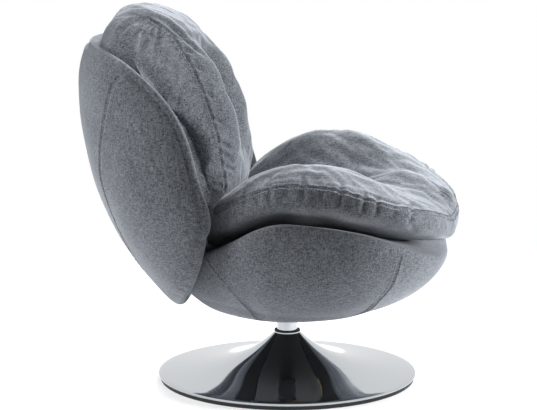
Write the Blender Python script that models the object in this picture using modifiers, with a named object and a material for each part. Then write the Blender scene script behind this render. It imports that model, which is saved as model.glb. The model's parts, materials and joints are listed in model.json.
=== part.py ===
"""Swivel armchair: a petal back and a lobed seat that turn on a chromed trumpet base.

Metres, +Z up. The origin is on the floor, on the swivel axis. The sitter faces -Y.
"""

import math

import bmesh
import bpy
from mathutils import Matrix, Vector

# Fits
CLEAR = 0.0003
ROUND_STEPS = 24
FINE_STEPS = 36
HOLE_SIDES = 12
SCREW_STEPS = 8

# Trumpet base
COVER_RADIUS = 0.270
PAD_INSET = 0.024
PAD_THICKNESS = 0.003
PLATE_INSET = 0.018
PLATE_THICKNESS = 0.006
COVER_WALL = 0.0015
COVER_LIP = 0.012
COVER_RIM_HEIGHT = 0.006
COVER_NECK_RADIUS = 0.027
COVER_NECK_TOP = 0.099
COVER_COLLAR = 0.002
COVER_EDGE_SLOPE = 0.12
COVER_FLARE_POWER = 4.0
COVER_FLARE_POINTS = 8
COVER_FLARE_CROWDING = 1.5
RIM_LIFT = 0.0082
GASKET_INSET = 0.004
NECK_RING_HEIGHT = 0.003

# Column
FLANGE_RADIUS = 0.055
FLANGE_THICKNESS = 0.006
FLANGE_SCREW_CIRCLE = 0.041
COLUMN_RADIUS = 0.0215
COLUMN_WALL = 0.0025
COLUMN_LENGTH = 0.1246
SPINDLE_RADIUS = 0.011
SPINDLE_FOOT_GAP = 0.007
BUSH_LENGTH = 0.025
BUSH_FOOT_HEIGHT = 0.019
CLIP_RADIUS = 0.0145
CLIP_THICKNESS = 0.0014
CLIP_GROOVE = 0.0015
CLIP_SLIT = 0.006

# Thrust bearing
BALL_RADIUS = 0.0025
BALL_COUNT = 8
BALL_SEGMENTS = 8
BALL_RINGS = 6
BALL_CIRCLE = 0.0170
RACE_THICKNESS = 0.0024
RACE_GROOVE = 0.0008
RACE_GROOVE_POINTS = 4
RACE_WIDTH = 0.0088
CAGE_WIDTH = 0.0082
CAGE_THICKNESS = 0.0018

# Swivel plate and its fasteners
SWIVEL_PLATE_THICKNESS = 0.004
SWIVEL_PLATE_CORNER = 0.015
SWIVEL_PLATE_CORNER_STEPS = 3
SWIVEL_BOLT_SPACING = 0.110
BOLT_RADIUS = 0.004
BOLT_LENGTH = 0.016
INSERT_RADIUS = 0.0062
INSERT_LENGTH = 0.014
SCREW_RADIUS = 0.003
HEAD_RATIO = 1.7
HEAD_HEIGHT_RATIO = 0.95
SOCKET_RATIO = 0.75
SOCKET_DEPTH_RATIO = 0.55

# Wooden seat frame
RAIL_WIDTH = 0.040
RAIL_HEIGHT = 0.050
RAIL_LENGTH = 0.180
BOARD_RADIUS = 0.190
BOARD_THICKNESS = 0.012
BOARD_SETBACK = -0.020
BOTTOM_CLOTH_THICKNESS = 0.001
BOTTOM_CLOTH_MARGIN = 0.004
MOUTH_RADIUS = 0.125
MOUTH_STEPS = 20
HULL_RECESS = 0.0030

# Seat shell, a padded hull
HULL_HALF_WIDTH = 0.346
HULL_FRONT = -0.332
HULL_REAR = 0.270
HULL_FRONT_OUTLINE = 2.4
HULL_REAR_OUTLINE = 1.6
HULL_EDGE_DROP = 0.020
HULL_EDGE_DROP_SIDE = 0.006
HULL_TOP_POWER = 0.5
HULL_FOOT_MARGIN = 0.010
HULL_FOOT_BLEND = 0.080

# Where the cushion lies on the hull, above the swivel plate's top
SEAT_MEET_HEIGHT = 0.175
SEAT_MEET_SIDE_RISE = 0.078
SEAT_MEET_FRONT_FALL = 0.45
SEAT_MEET_REAR_DROP = 0.064
SEAT_MEET_REAR_REACH = 0.158
SEAT_MEET_MIDDLE = -0.050
SEAT_SINK = 0.003

# Seat cushion: two side lobes and a crown at the front between them
CUSHION_HALF_WIDTH = 0.352
CUSHION_FRONT = -0.354
CUSHION_REAR = 0.155
CUSHION_FRONT_OUTLINE = 2.4
CUSHION_REAR_OUTLINE = 2.6
VALLEY_THICKNESS = 0.080
LOBE_RISE = 0.060
LOBE_FADE = 0.4
LOBE_PLACE = 0.235
LOBE_TURN_IN = 0.060
LOBE_WIDTH = 0.105
CROWN_RISE = 0.056
CROWN_WIDTH = 0.080
CROWN_START = -0.100
CROWN_LENGTH = 0.180
CUSHION_EQUATOR = 0.50
CUSHION_UNDER_POWER = 0.85

# Back shell, a petal bent round the back
SHELL_FOOT = 0.003
SHELL_TOP = 0.557
SHELL_HALF_ANGLE = 83.0
SHELL_HALF_WIDTH = 0.326
SHELL_WRAP = 0.280
SHELL_HALF_THICKNESS = 0.034
SHELL_REAR = 0.4245
SHELL_REAR_HEIGHT = 0.465
SHELL_CURVE = 1.35
SHELL_CURVE_POWER = 2.4
SHELL_TOP_CURVE = 3.2
SHELL_TOP_OUTLINE = 3.3
SHELL_FOOT_OUTLINE = 1.65
SHELL_END_POWER = 4

# Back cushion
PILLOW_MIDDLE = (0.2166, 0.4110)
PILLOW_RECLINE = 21.0
PILLOW_BEND = 0.042
PILLOW_HALF_HEIGHT = 0.222
PILLOW_HALF_WIDTH = 0.258
PILLOW_FRONT_DEPTH = 0.096
PILLOW_REAR_DEPTH = 0.150
PILLOW_REAR_POWER = 1.5
PILLOW_REAR_TAPER = 0.3
PILLOW_OUTLINE = 2.6

# Two rolls down the back cushion's front, a valley between them and a crown above
PILLOW_ROLL_RISE = 0.017
PILLOW_ROLL_PLACE = 0.078
PILLOW_ROLL_WIDTH = 0.050
PILLOW_ROLL_FOOT = -0.80
PILLOW_ROLL_GROWTH = 0.70
PILLOW_ROLL_HEAD = 0.62
PILLOW_ROLL_FADE = 0.36
PILLOW_VALLEY_DEPTH = 0.030
PILLOW_VALLEY_WIDTH = 0.036
PILLOW_SIDE_FALL = 0.045
PILLOW_SIDE_START = 0.070
PILLOW_SIDE_RUN = 0.140
PILLOW_CROWN_RISE = 0.010
PILLOW_CROWN_WIDTH = 0.100
PILLOW_CROWN_FOOT = 0.30
PILLOW_CROWN_GROWTH = 0.35

# Back board and the steel bracket that carries it
BACK_BOARD_THICKNESS = 0.012
BACK_BOARD_REACH = 0.60
BACK_BOARD_DEPTH = 0.010
BACK_BOARD_FACETS = 6
BRACKET_WIDTH = 0.080
BRACKET_THICKNESS = 0.006
BRACKET_FOOT = 0.010
BRACKET_TOP = 0.335
BRACKET_LEAVES_BOARD = 0.130
BRACKET_BOLT_SPACING = 0.044
BRACKET_FOOT_BOLTS = (0.035, 0.085)
BRACKET_BACK_BOLTS = (-5, -2)
BRACKET_SCREW_SHORT = 0.004
BRACKET_RISE_POINTS = 7
BRACKET_BEND_POINTS = 5
BRACKET_BEND_RUN = 0.04
BRACKET_BEND_SHARE = 0.5

# Mesh density of the soft forms
PAD_COLUMNS = 10
PAD_ROWS = 8
PAD_LAYERS = 2
PAD_EDGE_RATIO = 0.93
OUTLINE_BLEND = 0.3
CAGE_ROUNDS = 2
NORMAL_STEP_RATIO = 0.01

# Fullness towards the middle and roundness of the edge of each soft form
SHELL_FORM = (4.0, 2.2)
HULL_FORM = (2.9, 1.6)
CUSHION_FORM = (2.6, 2.0)
PILLOW_FORM = (3.5, 2.0)

# Heights that follow from the sizes above
PLATE_BOTTOM = PAD_THICKNESS + CLEAR
PLATE_TOP = PLATE_BOTTOM + PLATE_THICKNESS
FLANGE_BOTTOM = PLATE_TOP + CLEAR
FLANGE_TOP = FLANGE_BOTTOM + FLANGE_THICKNESS
COLUMN_BOTTOM = FLANGE_TOP + CLEAR
COLUMN_TOP = COLUMN_BOTTOM + COLUMN_LENGTH
LOWER_RACE_BOTTOM = COLUMN_TOP + CLEAR
LOWER_RACE_TOP = LOWER_RACE_BOTTOM + RACE_THICKNESS
BALL_HEIGHT = LOWER_RACE_TOP - RACE_GROOVE + CLEAR + BALL_RADIUS
UPPER_RACE_BOTTOM = 2 * BALL_HEIGHT - LOWER_RACE_TOP
UPPER_RACE_TOP = UPPER_RACE_BOTTOM + RACE_THICKNESS
SWIVEL_BOTTOM = UPPER_RACE_TOP + CLEAR
SWIVEL_TOP = SWIVEL_BOTTOM + SWIVEL_PLATE_THICKNESS
SWIVEL_PLATE_SIDE = SWIVEL_BOLT_SPACING + RAIL_WIDTH
RAIL_BOTTOM = SWIVEL_TOP + CLEAR
RAIL_TOP = RAIL_BOTTOM + RAIL_HEIGHT
BOARD_BOTTOM = RAIL_TOP + CLEAR
BOARD_TOP = BOARD_BOTTOM + BOARD_THICKNESS
HULL_BOTTOM = SWIVEL_TOP - HULL_RECESS
PAD_RADIUS = COVER_RADIUS - PAD_INSET
PLATE_RADIUS = COVER_RADIUS - PLATE_INSET
GASKET_RADIUS = COVER_RADIUS - GASKET_INSET
COLUMN_BORE = COLUMN_RADIUS - COLUMN_WALL
BUSH_RADIUS = COLUMN_BORE - CLEAR
BUSH_BORE = SPINDLE_RADIUS + CLEAR
BUSH_FOOT = COLUMN_BOTTOM + BUSH_FOOT_HEIGHT
SPINDLE_FOOT = COLUMN_BOTTOM + SPINDLE_FOOT_GAP

parts = bpy.data.collections.new("swivel_armchair")
cutters = bpy.data.collections.new("cutters")


def clear_scene():
    for old in list(bpy.data.objects):
        bpy.data.objects.remove(old, do_unlink=True)
    bpy.context.scene.collection.children.link(parts)
    bpy.context.scene.collection.children.link(cutters)


def linear(value):
    """One sRGB channel, 0 to 255, as a linear colour channel."""
    share = value / 255
    return share / 12.92 if share <= 0.04045 else ((share + 0.055) / 1.055) ** 2.4


def material(name, colour, roughness, metallic=0.0):
    made = bpy.data.materials.new(name)
    made.use_nodes = True
    shader = made.node_tree.nodes["Principled BSDF"]
    channels = [linear(int(colour[i : i + 2], 16)) for i in (1, 3, 5)]
    shader.inputs["Base Color"].default_value = (*channels, 1.0)
    shader.inputs["Roughness"].default_value = roughness
    shader.inputs["Metallic"].default_value = metallic
    return made


def add_part(name, mesh, finish):
    piece = bpy.data.objects.new(name, mesh)
    piece.data.materials.clear()
    piece.data.materials.append(finish)
    parts.objects.link(piece)
    return piece


def add_cutter(name, mesh):
    cutter = bpy.data.objects.new(name, mesh)
    cutter.hide_render = True
    cutter.display_type = "WIRE"
    cutters.objects.link(cutter)
    return cutter


def shade(mesh, angle=35):
    mesh.shade_smooth()
    mesh.set_sharp_from_angle(angle=math.radians(angle))
    return mesh


def evaluated_mesh(piece):
    bpy.context.view_layer.update()
    graph = bpy.context.evaluated_depsgraph_get()
    return bpy.data.meshes.new_from_object(piece.evaluated_get(graph))


def cut(piece, tool, solver="EXACT"):
    modifier = piece.modifiers.new(tool.name, "BOOLEAN")
    modifier.operation = "DIFFERENCE"
    modifier.object = tool
    modifier.solver = solver


def mesh_of(name, form):
    """A mesh datablock from a bmesh, which it frees."""
    mesh = bpy.data.meshes.new(name)
    bmesh.ops.recalc_face_normals(form, faces=form.faces)
    form.to_mesh(mesh)
    form.free()
    return shade(mesh)


def turned_mesh(name, profile, steps, closed):
    """A profile of (radius, height) points turned about Z. It runs down its outer side."""
    line = bmesh.new()
    points = [line.verts.new((radius, 0, height)) for radius, height in profile]
    ends = points[1:] + points[:1] if closed else points[1:]
    for start, end in zip(points, ends):
        line.edges.new((start, end))
    mesh = bpy.data.meshes.new(name + "_profile")
    line.to_mesh(mesh)
    line.free()
    helper = add_cutter(name + "_turning", mesh)
    screw = helper.modifiers.new("turn", "SCREW")
    screw.steps = steps
    screw.render_steps = steps
    screw.use_merge_vertices = True
    screw.merge_threshold = 0.00001
    result = evaluated_mesh(helper)
    bpy.data.objects.remove(helper, do_unlink=True)
    form = bmesh.new()
    form.from_mesh(result)
    bmesh.ops.remove_doubles(form, verts=form.verts, dist=0.00001)
    return mesh_of(name, form)


def ring_mesh(name, inner, outer, bottom, top, steps=ROUND_STEPS):
    profile = [(outer, top), (outer, bottom), (inner, bottom), (inner, top)]
    return turned_mesh(name, profile, steps, True)


def disc_mesh(name, radius, bottom, top, steps=ROUND_STEPS):
    profile = [(0, top), (radius, top), (radius, bottom), (0, bottom)]
    return turned_mesh(name, profile, steps, False)


def cylinders(name, places, radius, bottom, top, sides=HOLE_SIDES):
    """One cutter made of an upright cylinder at each (x, y)."""
    form = bmesh.new()
    for x, y in places:
        bmesh.ops.create_cone(
            form,
            cap_ends=True,
            segments=sides,
            radius1=radius,
            radius2=radius,
            depth=top - bottom,
            matrix=Matrix.Translation((x, y, (top + bottom) / 2)),
        )
    return add_cutter(name, mesh_of(name, form))


def box_form(size, middle):
    form = bmesh.new()
    scale = Matrix.Diagonal((*size, 1))
    bmesh.ops.create_cube(form, size=1, matrix=Matrix.Translation(middle) @ scale)
    return form


def corners(half):
    return [(x, y) for x in (-half, half) for y in (-half, half)]


def on_circle(radius, count, turn=0.0):
    angles = [turn + 2 * math.pi * index / count for index in range(count)]
    return [(radius * math.cos(angle), radius * math.sin(angle)) for angle in angles]


def fastener_mesh(name, radius, length):
    """A button-head screw along -Z with its head's seat at the origin and a hexagon socket."""
    head = radius * HEAD_RATIO
    height = radius * 2 * HEAD_HEIGHT_RATIO
    profile = [(0, height), (head, height), (head, 0), (radius, 0), (radius, -length), (0, -length)]
    plain = turned_mesh(name + "_plain", profile, SCREW_STEPS, False)
    blank = add_cutter(name + "_blank", plain)
    depth = height * SOCKET_DEPTH_RATIO
    across = radius * SOCKET_RATIO
    socket = cylinders(name + "_socket", [(0, 0)], across, height - depth, height + depth, 6)
    cut(blank, socket)
    mesh = evaluated_mesh(blank)
    mesh.name = name
    bpy.data.objects.remove(blank, do_unlink=True)
    bpy.data.objects.remove(socket, do_unlink=True)
    return mesh


def holes_along(name, frames, radius, depth, height):
    """One cutter with a cylinder on each frame's Z, from -depth to height."""
    form = bmesh.new()
    for frame in frames:
        bmesh.ops.create_cone(
            form,
            cap_ends=True,
            segments=HOLE_SIDES,
            radius1=radius,
            radius2=radius,
            depth=depth + height,
            matrix=frame @ Matrix.Translation((0, 0, (height - depth) / 2)),
        )
    return add_cutter(name, mesh_of(name, form))


# Soft forms


def sliced_cube(columns, rows, layers):
    """A cube from -1 to 1 whose faces are cut into an even grid."""
    form = bmesh.new()
    bmesh.ops.create_cube(form, size=2)
    for axis, count in enumerate((columns, rows, layers)):
        for index in range(1, count):
            place = Vector()
            place[axis] = 2 * index / count - 1
            normal = Vector()
            normal[axis] = 1
            everything = form.verts[:] + form.edges[:] + form.faces[:]
            bmesh.ops.bisect_plane(form, geom=everything, plane_co=place, plane_no=normal)
    return form


def pad_point(point, fullness, roundness):
    """A point of the sliced cube as (u, v) in the unit disc and side, -1 below to 1 above."""
    u = point.x * math.sqrt(1 - point.y**2 / 2)
    v = point.y * math.sqrt(1 - point.x**2 / 2)
    spread = max(math.hypot(u, v), 1e-9)
    edge_side = (1 - PAD_EDGE_RATIO**fullness) ** (1 / roundness)
    if abs(point.z) > 0.9999:
        radius = spread * PAD_EDGE_RATIO
        side = math.copysign((1 - radius**fullness) ** (1 / roundness), point.z)
    else:
        side = point.z * edge_side
        radius = (1 - abs(side) ** roundness) ** (1 / fullness)
    return u / spread * radius, v / spread * radius, side


def squared(u, v, low_power, high_power):
    """Stretches the unit disc to |u|^power + |v|^power = 1, with a power for low v and for high v."""
    size = math.hypot(u, v)
    if size < 1e-9:
        return 0.0, 0.0
    share = min(max(v / size / OUTLINE_BLEND / 2 + 0.5, 0.0), 1.0)
    power = low_power + (high_power - low_power) * share
    reach = (abs(u / size) ** power + abs(v / size) ** power) ** (-1 / power)
    return u * reach, v * reach


def pad_cage(place, fullness, roundness):
    form = sliced_cube(PAD_COLUMNS, PAD_ROWS, PAD_LAYERS)
    for vert in form.verts:
        vert.co = place(*pad_point(vert.co, fullness, roundness))
    return form


def pad_object(name, place, form, finish):
    piece = add_part(name, mesh_of(name, pad_cage(place, *form)), finish)
    piece.data.shade_smooth()
    add_smoothing(piece)
    spread_cage(piece)
    return piece


def pad_room(name, pad):
    """A cutter that stands proud of a pad's whole form by the clearance."""
    cutter = add_cutter(name, pad.data.copy())
    add_smoothing(cutter)
    grow = cutter.modifiers.new("grow", "DISPLACE")
    grow.strength = CLEAR
    grow.mid_level = 0
    return cutter


def spread_cage(piece):
    """Moves the cage outwards until the smoothed surface meets the form at each cage point."""
    form = [vert.co.copy() for vert in piece.data.vertices]
    for _ in range(CAGE_ROUNDS):
        smooth = evaluated_mesh(piece)
        for vert, target, reached in zip(piece.data.vertices, form, smooth.vertices):
            vert.co += target - reached.co
        bpy.data.meshes.remove(smooth)


def add_smoothing(piece):
    """Smooths a cage. Both a pad and its grown copy split each face along the same diagonal."""
    smooth = piece.modifiers.new("smooth", "SUBSURF")
    smooth.levels = 1
    smooth.render_levels = 1
    split = piece.modifiers.new("split", "TRIANGULATE")
    split.quad_method = "FIXED"


def meet_height(x, y):
    """The height at which the seat cushion lies on the hull."""
    along = y - SEAT_MEET_MIDDLE
    fall = SEAT_MEET_FRONT_FALL * along**2
    if along > 0:
        fall = SEAT_MEET_REAR_DROP * (1 - math.exp(-((along / SEAT_MEET_REAR_REACH) ** 2)))
    rise = SEAT_MEET_SIDE_RISE * (x / HULL_HALF_WIDTH) ** 2
    return SWIVEL_TOP + SEAT_MEET_HEIGHT + rise - fall


def hull_place(u, v, side):
    u, v = squared(u, v, HULL_FRONT_OUTLINE, HULL_REAR_OUTLINE)
    x = HULL_HALF_WIDTH * u
    y = (HULL_FRONT + HULL_REAR) / 2 + (HULL_REAR - HULL_FRONT) / 2 * v
    top = meet_height(x, y)
    edge = top - HULL_EDGE_DROP - HULL_EDGE_DROP_SIDE * abs(u)
    if side > 0:
        return x, y, edge + (top - edge) * side**HULL_TOP_POWER
    lower = edge - (edge - HULL_BOTTOM) * -side
    return x, y, lower - (lower - HULL_BOTTOM) * round_the_mouth(x, y)


def eased(share):
    """0 up to a share of 0 and 1 from a share of 1, with a smooth rise between them."""
    share = min(max(share, 0.0), 1.0)
    return share * share * (3 - 2 * share)


def round_the_mouth(x, y):
    """1 round the mouth under the hull, where its cover lies level, and 0 further out."""
    outside = math.hypot(x, y) - MOUTH_RADIUS - HULL_FOOT_MARGIN
    return eased(1 - outside / HULL_FOOT_BLEND)


def toward_front(y):
    """0 behind the crown of the seat and 1 in front of where it is full."""
    return eased((CROWN_START - y) / CROWN_LENGTH)


def seat_place(u, v, side):
    u, v = squared(u, v, CUSHION_FRONT_OUTLINE, CUSHION_REAR_OUTLINE)
    x = CUSHION_HALF_WIDTH * u
    y = (CUSHION_FRONT + CUSHION_REAR) / 2 + (CUSHION_REAR - CUSHION_FRONT) / 2 * v
    front = toward_front(y)
    lobe = math.exp(-(((abs(x) - LOBE_PLACE + LOBE_TURN_IN * front) / LOBE_WIDTH) ** 2))
    crown = math.exp(-((x / CROWN_WIDTH) ** 2)) * front
    thick = VALLEY_THICKNESS + LOBE_RISE * (1 - LOBE_FADE * front) * lobe + CROWN_RISE * crown
    bottom = meet_height(x, y) - SEAT_SINK
    equator = CUSHION_EQUATOR * thick
    if side > 0:
        return x, y, bottom + equator + (thick - equator) * side
    return x, y, bottom + equator - equator * (-side) ** CUSHION_UNDER_POWER


def shell_spine(height):
    """How far back the shell's middle lies at a height above the swivel plate."""
    below = SHELL_REAR_HEIGHT - height
    if below > 0:
        outer = SHELL_REAR - SHELL_CURVE * below**SHELL_CURVE_POWER
        lean = SHELL_CURVE * SHELL_CURVE_POWER * below ** (SHELL_CURVE_POWER - 1)
    else:
        outer = SHELL_REAR - SHELL_TOP_CURVE * below**2
        lean = 2 * SHELL_TOP_CURVE * below
    middle = (SHELL_TOP + SHELL_FOOT) / 2
    ends = abs((height - middle) / (SHELL_TOP - middle))
    inset = SHELL_HALF_THICKNESS * max(1 - ends**SHELL_END_POWER, 0.0)
    return outer - inset * math.hypot(1, lean)


def shell_middle(u, v):
    """A point of the back shell's middle surface, for (u, v) in the unit disc."""
    u, v = squared(u, v, SHELL_FOOT_OUTLINE, SHELL_TOP_OUTLINE)
    angle = math.radians(SHELL_HALF_ANGLE) * u
    height = (SHELL_TOP + SHELL_FOOT) / 2 + (SHELL_TOP - SHELL_FOOT) / 2 * v
    x = SHELL_HALF_WIDTH * math.sin(angle)
    y = shell_spine(height) - SHELL_WRAP * (1 - math.cos(angle))
    return Vector((x, y, SWIVEL_TOP + height))


def shell_offset(u, v, forward):
    """The middle surface moved along its normal, towards the sitter."""
    step = NORMAL_STEP_RATIO
    across = shell_middle(u + step, v) - shell_middle(u - step, v)
    along = shell_middle(u, v + step) - shell_middle(u, v - step)
    return shell_middle(u, v) + across.cross(along).normalized() * forward


def shell_place(u, v, side):
    return shell_offset(u, v, SHELL_HALF_THICKNESS * side)


def pillow_relief(u, v):
    """How far the back cushion's rolls and crown stand out, and its valley and sides lie back."""
    across = abs(PILLOW_HALF_WIDTH * u)
    growth = eased((v - PILLOW_ROLL_FOOT) / PILLOW_ROLL_GROWTH)
    growth *= eased((PILLOW_ROLL_HEAD - v) / PILLOW_ROLL_FADE)
    roll = PILLOW_ROLL_RISE * math.exp(-(((across - PILLOW_ROLL_PLACE) / PILLOW_ROLL_WIDTH) ** 2))
    valley = PILLOW_VALLEY_DEPTH * math.exp(-((across / PILLOW_VALLEY_WIDTH) ** 2))
    crown = PILLOW_CROWN_RISE * math.exp(-((across / PILLOW_CROWN_WIDTH) ** 2))
    crown *= eased((v - PILLOW_CROWN_FOOT) / PILLOW_CROWN_GROWTH)
    fall = PILLOW_SIDE_FALL * eased((across - PILLOW_SIDE_START) / PILLOW_SIDE_RUN)
    return growth * (roll - valley) + crown - fall


def pillow_place(u, v, side):
    u, v = squared(u, v, PILLOW_OUTLINE, PILLOW_OUTLINE)
    lean = math.radians(PILLOW_RECLINE)
    high = max(v, 0) ** 2
    depth = (PILLOW_FRONT_DEPTH + pillow_relief(u, v)) * side
    if side < 0:
        depth = -PILLOW_REAR_DEPTH * (1 - PILLOW_REAR_TAPER * high) * (-side) ** PILLOW_REAR_POWER
    rise = PILLOW_HALF_HEIGHT * v
    y = PILLOW_MIDDLE[0] + rise * math.sin(lean) - depth * math.cos(lean) + PILLOW_BEND * high
    z = SWIVEL_TOP + PILLOW_MIDDLE[1] + rise * math.cos(lean) + depth * math.sin(lean)
    return PILLOW_HALF_WIDTH * u, y, z


def board_form(grow, front_extra=0.0, rear_extra=0.0):
    """The curved back board, which follows the shell's middle surface."""
    low = SHELL_HALF_THICKNESS - BACK_BOARD_DEPTH - grow
    high = low + grow + BACK_BOARD_THICKNESS + grow
    depths = sorted({low - rear_extra, low, high, high + front_extra})
    form = sliced_cube(BACK_BOARD_FACETS, BACK_BOARD_FACETS, len(depths) - 1)
    reach = BACK_BOARD_REACH + grow / (SHELL_HALF_WIDTH / 2)
    for vert in form.verts:
        u = vert.co.x * math.sqrt(1 - vert.co.y**2 / 2) * reach
        v = vert.co.y * math.sqrt(1 - vert.co.x**2 / 2) * reach
        layer = round((vert.co.z + 1) / 2 * (len(depths) - 1))
        vert.co = shell_offset(u, v, depths[layer])
    bmesh.ops.triangulate(form, faces=form.faces, quad_method="SHORT_EDGE")
    return form


def shell_v(height):
    """The v of the shell's middle line at a height above the swivel plate."""
    return (2 * height - SHELL_TOP - SHELL_FOOT) / (SHELL_TOP - SHELL_FOOT)


def bracket_depth():
    """How far the bracket's middle lies in front of the shell's middle surface."""
    board_front = SHELL_HALF_THICKNESS - BACK_BOARD_DEPTH + BACK_BOARD_THICKNESS
    return board_front + CLEAR + BRACKET_THICKNESS / 2


def bracket_line():
    """The bracket's middle line as (y, z), from its foot on the seat board up the back board."""
    low = BOARD_TOP + CLEAR + BRACKET_THICKNESS / 2
    rising = []
    for index in range(BRACKET_RISE_POINTS):
        share = index / (BRACKET_RISE_POINTS - 1)
        height = BRACKET_LEAVES_BOARD + (BRACKET_TOP - BRACKET_LEAVES_BOARD) * share
        point = shell_offset(0, shell_v(height), bracket_depth())
        rising.append((point.y, point.z))
    (y0, z0), (y1, z1) = rising[0], rising[1]
    slope = (y1 - y0) / (z1 - z0)
    bend = y0 - (z0 - low) * slope
    line = [(BRACKET_FOOT, low)]
    for index in range(BRACKET_BEND_POINTS):
        share = index / (BRACKET_BEND_POINTS - 1)
        up = BRACKET_BEND_SHARE * share
        start = (bend - BRACKET_BEND_RUN * (1 - share), low)
        end = (bend + (y0 - bend) * up, low + (z0 - low) * up)
        line.append(tuple(a + (b - a) * share for a, b in zip(start, end)))
    return line + rising


def bracket_mesh(name, grow):
    """A flat bar bent along the bracket's line, grown by a clearance for a cutter."""
    line = [Vector(point) for point in bracket_line()]
    first = (line[1] - line[0]).normalized()
    last = (line[-1] - line[-2]).normalized()
    line[0] = line[0] - first * grow
    line[-1] = line[-1] + last * grow
    half = BRACKET_THICKNESS / 2 + grow
    above, below = [], []
    for index, point in enumerate(line):
        ahead = line[min(index + 1, len(line) - 1)] - line[max(index - 1, 0)]
        normal = Vector((-ahead.y, ahead.x)).normalized()
        above.append(point + normal * half)
        below.append(point - normal * half)
    outline = bpy.data.curves.new(name + "_outline", "CURVE")
    outline.dimensions = "2D"
    outline.fill_mode = "BOTH"
    outline.extrude = BRACKET_WIDTH / 2 + grow
    spline = outline.splines.new("POLY")
    corners_list = above + below[::-1]
    spline.points.add(len(corners_list) - 1)
    for spot, corner in zip(spline.points, corners_list):
        spot.co = (corner.x, corner.y, 0, 1)
    spline.use_cyclic_u = True
    flat = bpy.data.objects.new(name + "_outline", outline)
    cutters.objects.link(flat)
    mesh = evaluated_mesh(flat)
    bpy.data.objects.remove(flat, do_unlink=True)
    upright = Matrix(((0, 0, 1, 0), (1, 0, 0, 0), (0, 1, 0, 0), (0, 0, 0, 1)))
    mesh.transform(upright)
    form = bmesh.new()
    form.from_mesh(mesh)
    bmesh.ops.remove_doubles(form, verts=form.verts, dist=0.00001)
    return mesh_of(name, form)


def bracket_bolt_frames():
    """Where the bracket's bolts sit: the head's seat, with Z out of the hole."""
    frames = []
    half = BRACKET_BOLT_SPACING / 2
    line = [Vector((0, y, z)) for y, z in bracket_line()]
    for x in (-half, half):
        for y in BRACKET_FOOT_BOLTS:
            seat = BOARD_TOP + CLEAR + BRACKET_THICKNESS + CLEAR
            frames.append(Matrix.Translation((x, y, seat)))
        for index in BRACKET_BACK_BOLTS:
            along = line[index + 1] - line[index]
            out = Vector((1, 0, 0)).cross(along).normalized()
            middle = (line[index] + line[index + 1]) / 2 + out * (BRACKET_THICKNESS / 2 + CLEAR)
            turn = Vector((0, 0, 1)).rotation_difference(out).to_matrix().to_4x4()
            frames.append(Matrix.Translation((x, middle.y, middle.z)) @ turn)
    return frames


# The pieces


def make_base(chrome, black_steel, rubber, foam, nylon, zinc):
    add_part("floor_pad", disc_mesh("floor_pad", PAD_RADIUS, 0, PAD_THICKNESS, FINE_STEPS), foam)
    plate = add_part(
        "base_plate",
        disc_mesh("base_plate", PLATE_RADIUS, PLATE_BOTTOM, PLATE_TOP, FINE_STEPS),
        black_steel,
    )
    gasket = ring_mesh(
        "rim_gasket", PLATE_RADIUS + CLEAR, GASKET_RADIUS, 0, RIM_LIFT - CLEAR, FINE_STEPS
    )
    add_part("rim_gasket", gasket, rubber)
    add_part("base_cover", cover_mesh(), chrome)
    flange = add_part(
        "column_flange",
        disc_mesh("column_flange", FLANGE_RADIUS, FLANGE_BOTTOM, FLANGE_TOP),
        black_steel,
    )
    spots = on_circle(FLANGE_SCREW_CIRCLE, 4, math.pi / 4)
    length = FLANGE_THICKNESS + PLATE_THICKNESS
    hole = SCREW_RADIUS + CLEAR
    drill = cylinders("flange_holes", spots, hole, PAD_THICKNESS - length, FLANGE_TOP + length)
    cut(flange, drill)
    cut(plate, drill)
    screw = fastener_mesh("flange_screw", SCREW_RADIUS, length)
    for index, (x, y) in enumerate(spots, 1):
        piece = add_part(f"flange_screw_{index}", screw, zinc)
        piece.location = (x, y, FLANGE_TOP + CLEAR)
    tube = ring_mesh("column_tube", COLUMN_BORE, COLUMN_RADIUS, COLUMN_BOTTOM, COLUMN_TOP)
    add_part("column_tube", tube, chrome)
    ring_bottom = COVER_NECK_TOP + CLEAR
    ring = ring_mesh(
        "neck_ring",
        COLUMN_RADIUS + CLEAR,
        COVER_NECK_RADIUS,
        ring_bottom,
        ring_bottom + NECK_RING_HEIGHT,
    )
    add_part("neck_ring", ring, rubber)
    low = ring_mesh("lower_bush", BUSH_BORE, BUSH_RADIUS, BUSH_FOOT, BUSH_FOOT + BUSH_LENGTH)
    add_part("lower_bush", low, nylon)
    high = ring_mesh("upper_bush", BUSH_BORE, BUSH_RADIUS, COLUMN_TOP - BUSH_LENGTH, COLUMN_TOP)
    add_part("upper_bush", high, nylon)


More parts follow.
